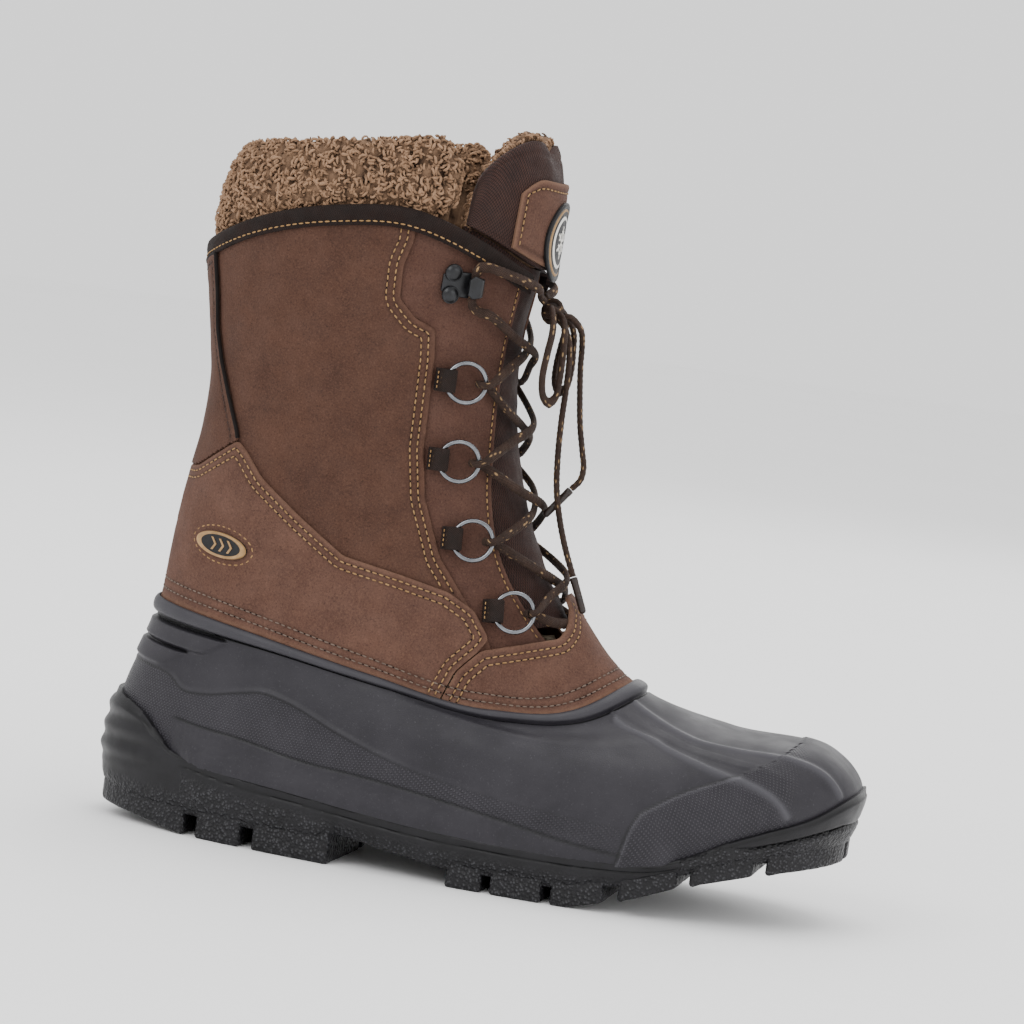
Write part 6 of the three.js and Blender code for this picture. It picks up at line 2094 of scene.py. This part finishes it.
@dataclass
class Collar:
    """Fleece collar that stands out of the binding, open at the front."""

    end: float = 62.0
    columns: int = 330

    def build(self) -> None:
        """The collar's ground and its curls."""
        end = math.radians(self.end)
        angle = np.linspace(end, 2 * math.pi - end, self.columns)
        cap = LAST.level_below(angle, TOP, -2.4)

        def lift(share: float) -> Array:
            """Levels at a share of the collar's height."""
            return cap + (COLLAR - cap) * share

        section = [(7.42, -5.95), (7.8, -5.95), (cap, -5.8), (lift(0.12), -3.9), (lift(0.3), -3.1),
                   (lift(0.5), -2.9), (lift(0.72), -3.4), (lift(0.88), -4.9), (lift(0.96), -7.4),
                   (lift(0.95), -10.2), (lift(0.86), -12.8), (lift(0.68), -14.3), (lift(0.4), -14.8),
                   (cap, -13.8), (7.8, -12.4), (7.42, -11.1)]
        ring = np.stack([LAST.skin(angle, level, out) for level, out in section])
        closed = np.concatenate([ring[-2:], ring, ring[:2]])
        dense = []
        for i in range(1, len(ring) + 1):
            a, b, c, d = closed[i - 1:i + 3]
            for f in np.linspace(0, 1, 5, endpoint=False):
                dense.append(0.5 * ((2 * b) + (c - a) * f + (2 * a - 5 * b + 4 * c - d) * f**2
                                    + (3 * b - a - 3 * c + d) * f**3))
        rows = np.stack(dense, 1)
        column = np.arange(self.columns)
        round_off = ramp(np.minimum(column, column[::-1]), -1, 14)
        middle = rows.mean(1, keepdims=True)
        rows = middle + (rows - middle) * (0.55 + 0.45 * round_off)[:, None, None]
        around = np.roll(rows, -1, 1) - np.roll(rows, 1, 1)
        normal = unit(np.cross(np.gradient(rows, axis=0), around))
        if ((rows - middle) * normal).sum() < 0:
            normal = -normal
        above = ramp(rows[..., 2], 238, 252)[..., None]
        raised, tip = FLEECE_PILE.ground(rows, normal, 2.4)
        raised = rows * (1 - above) + raised * above
        shape = Shape().grid(raised, round_columns=True, caps=True, tip=tip)
        obj = shape.build("collar_fleece", FLEECE.material(), sharp=180)
        piece(obj, BOOT, "fleece", "fleece_collar")
        curls = Shape()
        tall = rows[:, 12:66]
        FLEECE_PILE.curls(curls, tall, normal[:, 12:66], 5400)
        for last, within in ((0, 9), (-1, -10)):
            ends = np.stack([middle[last] * (1 - f) + rows[last, 14:63] * f for f in (0.1, 0.5, 0.95)])
            ahead = rows[last].mean(0) - rows[within].mean(0)
            FLEECE_PILE.curls(curls, ends, np.broadcast_to(unit(ahead), ends.shape), 170)
        piece(curls.build("collar_curls", FLEECE.material(), sharp=180), BOOT, "fleece")


@dataclass
class Tongue:
    """Padded nylon tongue: a fixed lower part, and a top on a body of its own, with its fleece and badge."""

    half: float = 55.0
    foot: float = 4.75
    fold: float = 8.1
    breadth: float = 84.0
    climb: float = 60.0
    crest: float = 44.0
    patch_half: float = 35.0
    patch_levels: tuple[float, float] = (8.12, 8.68)

    def lean(self, u: Array, v: Array) -> Array:
        """Millimetres that the top's middle leans back at its upper edge."""
        return 6.5 * np.clip((v - 0.6) / 0.4, 0, 1)**2 * np.exp(-((u * 2 - 1) / 0.42)**2)

    def crown(self, u: Array, drop: float) -> Array:
        """Level of the upper edge, dropping at its rounded corners."""
        drop = drop + 0.1 * np.exp(-((u * 2 - 1) / 0.3)**2)
        corner = np.clip(np.abs(u * 2 - 1) - 0.5, 0, None) / 0.5
        return COLLAR - drop - 0.5 * (1 - np.sqrt(1 - corner**2 + 1e-9))

    def sheet(self, rows: int, columns: int, half: float, bottom: float, drop: float) -> tuple[Array, ...]:
        """Angles, levels and shares of a part of the top.

        Args:
            rows: Points across.
            columns: Points up.
            half: Half opening in degrees.
            bottom: Lowest level.
            drop: How far the upper edge lies under the collar's level.

        Returns:
            Angle, level, share across and share up.
        """
        u, v = np.meshgrid(np.linspace(0, 1, rows), np.linspace(0, 1, columns), indexing="ij")
        level = bottom + (self.crown(u, drop) - bottom) * v
        return (u * 2 - 1) * math.radians(half), level, u, v

    def to_edge(self, u: Array, v: Array, hidden: float) -> Array:
        """Millimetres to the nearest edge of the top, whose foot is hidden by this much."""
        upright = np.minimum(v * self.climb + hidden, (1 - v) * self.crest)
        return np.minimum(np.minimum(u, 1 - u) * self.breadth, upright)

    def top(self) -> None:
        """The top's nylon outside."""
        angle, level, u, v = self.sheet(120, 60, self.half, self.fold, 0.06)
        edge = self.to_edge(u, v, 1.5)
        pinch = (1 - np.clip(edge / 5, 0, 1))**2
        hem = np.exp(-((edge - 4.2) / 0.8)**2)
        place = LAST.surface(angle, level)
        out = -1.75 - 1.3 * pinch - 0.45 * hem + 0.25 * noise(place, 14, 31) * (1 - pinch) - self.lean(u, v)
        outer = LAST.skin(angle, level, out)
        inner = LAST.skin(angle, level, -6.0 + 0.9 * pinch - self.lean(u, v))
        shape = Shape().slab(outer, inner, along=np.radians(self.half) * 58 * (u * 2 - 1), up=v * 45)
        obj = shape.build("tongue_cover", NYLON.material(), sharp=80)
        piece(obj, TONGUE, "tongue_nylon", "tongue_top")

    def fleece(self) -> None:
        """The top's fleece lining."""
        angle, level, u, v = self.sheet(120, 56, self.half - 3, self.fold, 0.01)
        edge = self.to_edge(u, v, 3.0)
        pinch = (1 - np.clip(edge / 6, 0, 1))**2
        outer = LAST.skin(angle, level, -6.5 - 1.6 * pinch - self.lean(u, v))
        inner = LAST.skin(angle, level, -13.2 + 2.6 * pinch - self.lean(u, v))
        normal = LAST.normal(angle, level)
        raised, tip = FLEECE_PILE.ground(inner, -normal, 3.0)
        crest, crest_tip = FLEECE_PILE.ground(outer, normal, 1.0)
        keep = ramp(1 - v, 0.0, 0.25)[..., None]
        outer = outer * keep + crest * (1 - keep)
        shape = Shape()
        shape.slab(outer, raised)
        shape.values["tip"] = [np.concatenate([crest_tip.ravel(), tip.ravel()])]
        obj = shape.build("tongue_lining", FLEECE.material(), sharp=180)
        piece(obj, TONGUE, "fleece", "tongue_fleece")
        curls = Shape()
        FLEECE_PILE.curls(curls, raised, -normal, 1100)
        rim_angle = np.radians(np.linspace(-self.half + 5, self.half - 5, 110))
        rim_u = (rim_angle / math.radians(self.half - 3) + 1) / 2
        rim = np.stack([LAST.skin(rim_angle, self.crown(rim_u, 0.05), out - self.lean(rim_u, 1.0))
                        for out in (-6.8, -9.5, -12.5)], 1)
        up = np.broadcast_to(unit(np.array((0.1, 0, 1.0))), rim.shape)
        FLEECE_PILE.curls(curls, rim, up, 480)
        climb = np.linspace(self.fold, self.crown(np.array(0.0), 0.1), 60)
        for side in SIDES.values():
            turn = side * math.radians(self.half - 2.5)
            flank = np.stack([LAST.skin(turn, climb, out) for out in (-6.0, -9.5, -13.0)], 1)
            ahead = unit(LAST.surface(turn + side * 0.05, climb) - LAST.surface(turn, climb))
            FLEECE_PILE.curls(curls, flank, np.broadcast_to(ahead[:, None], flank.shape), 190)
        piece(curls.build("tongue_curls", FLEECE.material(), sharp=180), TONGUE, "fleece")

    def patch_place(self, u: Array, v: Array) -> Path:
        """Angles and levels on the patch, from shares across and up; its upper corners are rounded."""
        corner = np.clip(np.abs(u * 2 - 1) - 0.6, 0, None) / 0.4
        low, high = self.patch_levels
        return (u * 2 - 1) * math.radians(self.patch_half), low + (high - 0.14 * corner**2 - low) * v

    def patch(self) -> None:
        """Suede patch sewn on the top, with a stitched border."""
        rows, columns = 90, 46
        u, v = np.meshgrid(np.linspace(0, 1, rows), np.linspace(0, 1, columns), indexing="ij")
        angle, level = self.patch_place(u, v)
        edge = np.minimum(np.minimum(u, 1 - u) * 66, np.minimum(v, 1 - v) * 26)
        # the patch sinks along its stitch row, and that groove gets painted shade
        seam = np.exp(-((edge - 2.6) / 0.7)**2)
        place = LAST.surface(angle, level)
        out = -0.15 - 0.5 * (1 - np.sqrt(1 - np.clip(1 - edge / 1.2, 0, 1)**2)) - 0.28 * seam
        out += 0.1 * noise(place, 6, 41)
        shape = Shape().slab(LAST.skin(angle, level, out), LAST.skin(angle, level, -1.9 + 0 * out),
                             edge=np.clip(1 - edge / 1.4, 0, 1) * 0.8, seam=seam * 0.4)
        border_u = np.concatenate([np.full(30, 0.04), np.linspace(0.04, 0.96, 90), np.full(30, 0.96)])
        border_v = np.concatenate([np.linspace(0.08, 0.9, 30), np.full(90, 0.9), np.linspace(0.9, 0.08, 30)])
        turn, levels = self.patch_place(border_u, border_v)
        sew(shape, LAST.skin(turn, levels, -0.4), LAST.normal(turn, levels), thread=1, hole=2)
        piece(shape.build("tongue_patch_hide", WARM_HIDE.material(), TAN_THREAD.material(),
                          NEEDLE_HOLE_SHADOW.material()), TONGUE, "nubuck_patch", "tongue_patch")

    def badge(self) -> None:
        """Round moulded badge: dark rim, tan beading, pale ring and a plain six-armed crystal."""
        radii = np.array([0.01, 1.5, 3, 4.5, 6, 7.5, 8.6, 8.9, 9.2, 10.2, 10.5, 11.6, 12.3, 12.6, 13.3, 13.6,
                          14.0, 14.4, 15.2, 15.7, 16.0, 16.0])
        heights = np.array([0.9] * 8 + [1.15, 1.15, 0.9, 0.9, 0.9, 1.2, 1.2, 0.9,
                                        0.95, 1.35, 1.5, 1.35, 1.0, 0.2])
        turn = np.arange(96) * 2 * math.pi / 96
        a, b = radii[:, None] * np.cos(turn), radii[:, None] * np.sin(turn)
        shape = Shape()

        def laid(a: Array, b: Array, out: Array) -> Array:
            """Points on the tongue's front from millimetres beside and above the badge's middle."""
            left, left_level = LAST.locate(a.ravel(), 254 + b.ravel(), LATERAL, axis=1)
            right, right_level = LAST.locate(a.ravel(), 254 + b.ravel(), MEDIAL, axis=1)
            angle = np.where(a.ravel() < 0, left, right)
            level = np.where(a.ravel() < 0, left_level, right_level)
            return LAST.skin(angle, level, np.broadcast_to(out, a.shape).ravel()).reshape(*a.shape, 3)

        points = laid(a, b, heights[:, None])
        shape.grid(points, round_columns=True, caps=True)
        bands = np.zeros(len(radii) - 1, int)
        bands[(radii[:-1] >= 9.1) & (radii[:-1] < 10.3)] = 2
        bands[(radii[:-1] >= 12.5) & (radii[:-1] < 13.4)] = 1
        shape.materials[0] = np.repeat(bands, 96)
        for arm in range(6):
            direction = math.radians(30 + arm * 60)
            stem, twig = np.linspace(0.4, 6.6, 8), np.linspace(0, 2.2, 6)
            for start, t, bend in ((0.0, stem, 0.0), (3.0, twig, 0.75), (3.0, twig, -0.75)):
                ca, sa = math.cos(direction), math.sin(direction)
                cb, sb = math.cos(direction + bend), math.sin(direction + bend)
                middle = np.stack([start * ca + t * cb, start * sa + t * sb])
                across = np.array((-sb, cb))[:, None] * 0.42
                a, b = np.stack([middle + across, middle - across], 1)
                shape.slab(laid(a.T, b.T, 1.12), laid(a.T, b.T, 0.6), slot=2)
        piece(shape.build("tongue_badge_disc", BADGE_BLACK.material(), BADGE_TAN.material(),
                          BADGE_WHITE.material(), sharp=40), TONGUE, "badge", "tongue_badge")

    def lower(self) -> None:
        """The fixed lower part under the lace."""
        u, v = np.meshgrid(np.linspace(0, 1, 110), np.linspace(0, 1, 150), indexing="ij")
        level = self.foot + (self.fold - 0.012 - self.foot) * v
        angle = (u * 2 - 1) * np.radians(42 + 13 * v)
        place = LAST.surface(angle, level)
        edge = np.minimum(u, 1 - u) * 70
        pinch = (1 - np.clip(edge / 4, 0, 1))**2
        folds = 0.3 * noise(place * (0.5, 0.35, 1.6), 7, 51) + 0.12 * noise(place, 3, 52)
        out = -6.2 - 0.7 * pinch + folds * (1 - pinch)
        shape = Shape().slab(LAST.skin(angle, level, out), LAST.skin(angle, level, -8.6 + 0.4 * pinch),
                             along=angle * 52, up=v * 150)
        obj = shape.build("tongue_front", NYLON.material(), sharp=80)
        piece(obj, BOOT, "tongue_nylon", "tongue_lower")

    def build(self) -> None:
        """All of the tongue."""
        self.lower()
        self.top()
        self.fleece()
        self.patch()
        self.badge()


@dataclass
class HeelLabel:
    """Oval moulded label on the heel counter: black field, tan rim, a plain row of chevrons."""

    middle: tuple[float, float] = (-109.0, 117.0)
    tilt: float = 4.0
    half_length: float = 11.5
    half_height: float = 5.0

    def laid(self, a: Array, b: Array) -> Path:
        """Angles and levels from millimetres along and above the label's middle."""
        c, s = math.cos(math.radians(self.tilt)), math.sin(math.radians(self.tilt))
        x = self.middle[0] + a * c - b * s
        z = self.middle[1] - a * s + b * c
        angle, level = LAST.locate(x.ravel(), z.ravel(), LATERAL)
        return angle.reshape(a.shape), level.reshape(a.shape)

    def build(self, upper: Upper) -> None:
        """The label, and an oval row of stitches round it."""
        share = np.array([0.01, 0.2, 0.4, 0.6, 0.74, 0.78, 0.84, 0.9, 0.95, 0.98, 1.0, 1.0])
        heights = np.array([1.35, 1.35, 1.35, 1.35, 1.35, 1.4, 1.8, 1.95, 1.85, 1.5, 1.0, 0.2])
        turn = np.arange(80) * 2 * math.pi / 80
        angle, level = self.laid(self.half_length * share[:, None] * np.cos(turn),
                                 self.half_height * share[:, None] * np.sin(turn))
        shape = Shape().grid(LAST.skin(angle, level, heights[:, None] + 0 * angle), round_columns=True,
                             caps=True)
        bands = np.where((share[:-1] >= 0.77) & (share[:-1] < 0.985), 1, 0)
        shape.materials[0] = np.repeat(bands, 80)
        for at in (-3.4, 0.2, 3.8):
            for lean in (1, -1):
                t = np.linspace(0, 1, 6)
                a = at + np.stack([t * 1.6 - 0.8, t * 1.6 + 0.1])
                b = np.stack([lean * (2.5 - t * 2.5)] * 2)
                angle, level = self.laid(a.T, b.T)
                shape.slab(LAST.skin(angle, level, 1.62), LAST.skin(angle, level, 1.1), slot=1)
        piece(shape.build("heel_label_oval", BADGE_BLACK.material(), BADGE_TAN.material(), sharp=40), BOOT,
              "label", "heel_label")
        turn = np.linspace(0, 2 * math.pi, 120)
        row = self.laid((self.half_length + 2.3) * np.cos(turn), (self.half_height + 2.3) * np.sin(turn))
        upper.seams["tan"].append((row, 0.12))


@dataclass
class Inside:
    """What shows down the shaft: the felt inner boot and the footbed. Sizes are in millimetres."""

    cut: Knots = ((-34, 290), (-34, 200), (-31, 162), (-24, 132), (-2, 109), (10, 97), (90, 97), (90, 290))
    bed_low: float = 11.9
    bed_thickness: float = 4.0

    def liner(self) -> None:
        """The inner boot's wall and sole."""
        angle, level = np.meshgrid(np.linspace(-math.pi, math.pi, 300), np.linspace(0.55, 7.38, 150),
                                   indexing="ij")
        faces = grid_faces(*angle.shape)
        points = LAST.surface(angle, level).reshape(-1, 3)
        angle, level = angle.ravel(), level.ravel()
        centre = points[faces].mean(1)
        kept = ~side_inside(self.cut, centre[:, 0], centre[:, 2])
        used, faces = np.unique(faces[kept], return_inverse=True)
        faces = faces.reshape(-1, 4)
        angle, level, points = angle[used], level[used], points[used]
        rim = LeatherPanel.rim(faces)
        foot = 1 - ramp(level, 3.4, 4.4)
        outer = LAST.skin(angle, level, -6.0 - 2.0 * foot)
        fuzz = 0.3 * noise(points, 5, 61) + 0.2 * noise(points, 1.8, 62)
        inner = LAST.skin(angle, level, -11.1 - 0.8 * foot + fuzz)
        n = len(outer)
        sides = np.stack([rim[:, 0], rim[:, 1], rim[:, 1] + n, rim[:, 0] + n], -1)
        shape = Shape().add(np.concatenate([outer, inner]), [faces, (faces + n)[:, ::-1], sides[:, ::-1]])
        self.plate(shape, 12, self.bed_low - 4.3, 4.0)
        obj = piece(shape.build("liner_felt_sock", FELT.material(), sharp=80), BOOT, "liner_felt",
                    "thermal_liner")

    def plate(self, shape: Shape, inset: float, low: float, thickness: float, crown: float = 0.0) -> None:
        """Adds a plate that follows the footprint, raised at its rim by `crown`."""
        turn = np.linspace(0, 2 * math.pi, 160, endpoint=False)
        rim = SOLE.points(turn, inset)[:, :2]
        share = np.array([0.01, 0.2, 0.4, 0.6, 0.75, 0.86, 0.93, 0.97, 0.99, 1.0])
        flat = rim.mean(0) + share[:, None, None] * (rim - rim.mean(0))[None]
        under = curve(SOLE.height, (flat[..., 0] + 1) / 151)
        lift = crown * share[:, None]**4 - 0.8 * (share[:, None] > 0.985)
        top = np.concatenate([flat, (under + low + thickness + lift)[..., None]], -1)
        top[..., 2] += 0.18 * noise(top, 7, 71)
        bottom = np.concatenate([flat, (under + low)[..., None]], -1)[::-1]
        shape.grid(np.concatenate([top, bottom]), round_columns=True, caps=True)

    def build(self) -> None:
        """The liner and the footbed, and finishes for the parts that stay hidden."""
        self.liner()
        shape = Shape()
        self.plate(shape, 21, self.bed_low, self.bed_thickness, 1.0)
        obj = piece(shape.build("footbed_pad", FOAM.material(), sharp=60), BOOT, "footbed_foam", "footbed")
        for name, finish in (("insole_board", BOARD), ("shank", SHANK_STEEL)):
            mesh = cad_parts[name].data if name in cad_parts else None
            if mesh is not None:
                mesh.materials.clear()
                mesh.materials.append(finish.material())


# ------------------------------------------------------------------ the boot


def main() -> None:
    """Builds the boot, sub-assembly by sub-assembly."""
    logging.basicConfig(level=logging.INFO, format="%(name)s: %(message)s")
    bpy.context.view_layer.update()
    Studio().build()
    lace = Lace()
    lace.build_free()
    lace.build_crossed()
    lace.build_knot()
    Galosh().build()
    Outsole().build()
    upper = Upper()
    upper.build()
    Binding().build(upper)
    HeelLabel().build(upper)
    upper.stitches()
    LaceRings().build()
    LaceHooks().build()
    Collar().build()
    Tongue().build()
    Inside().build()


if __name__ == "__main__":
    main()
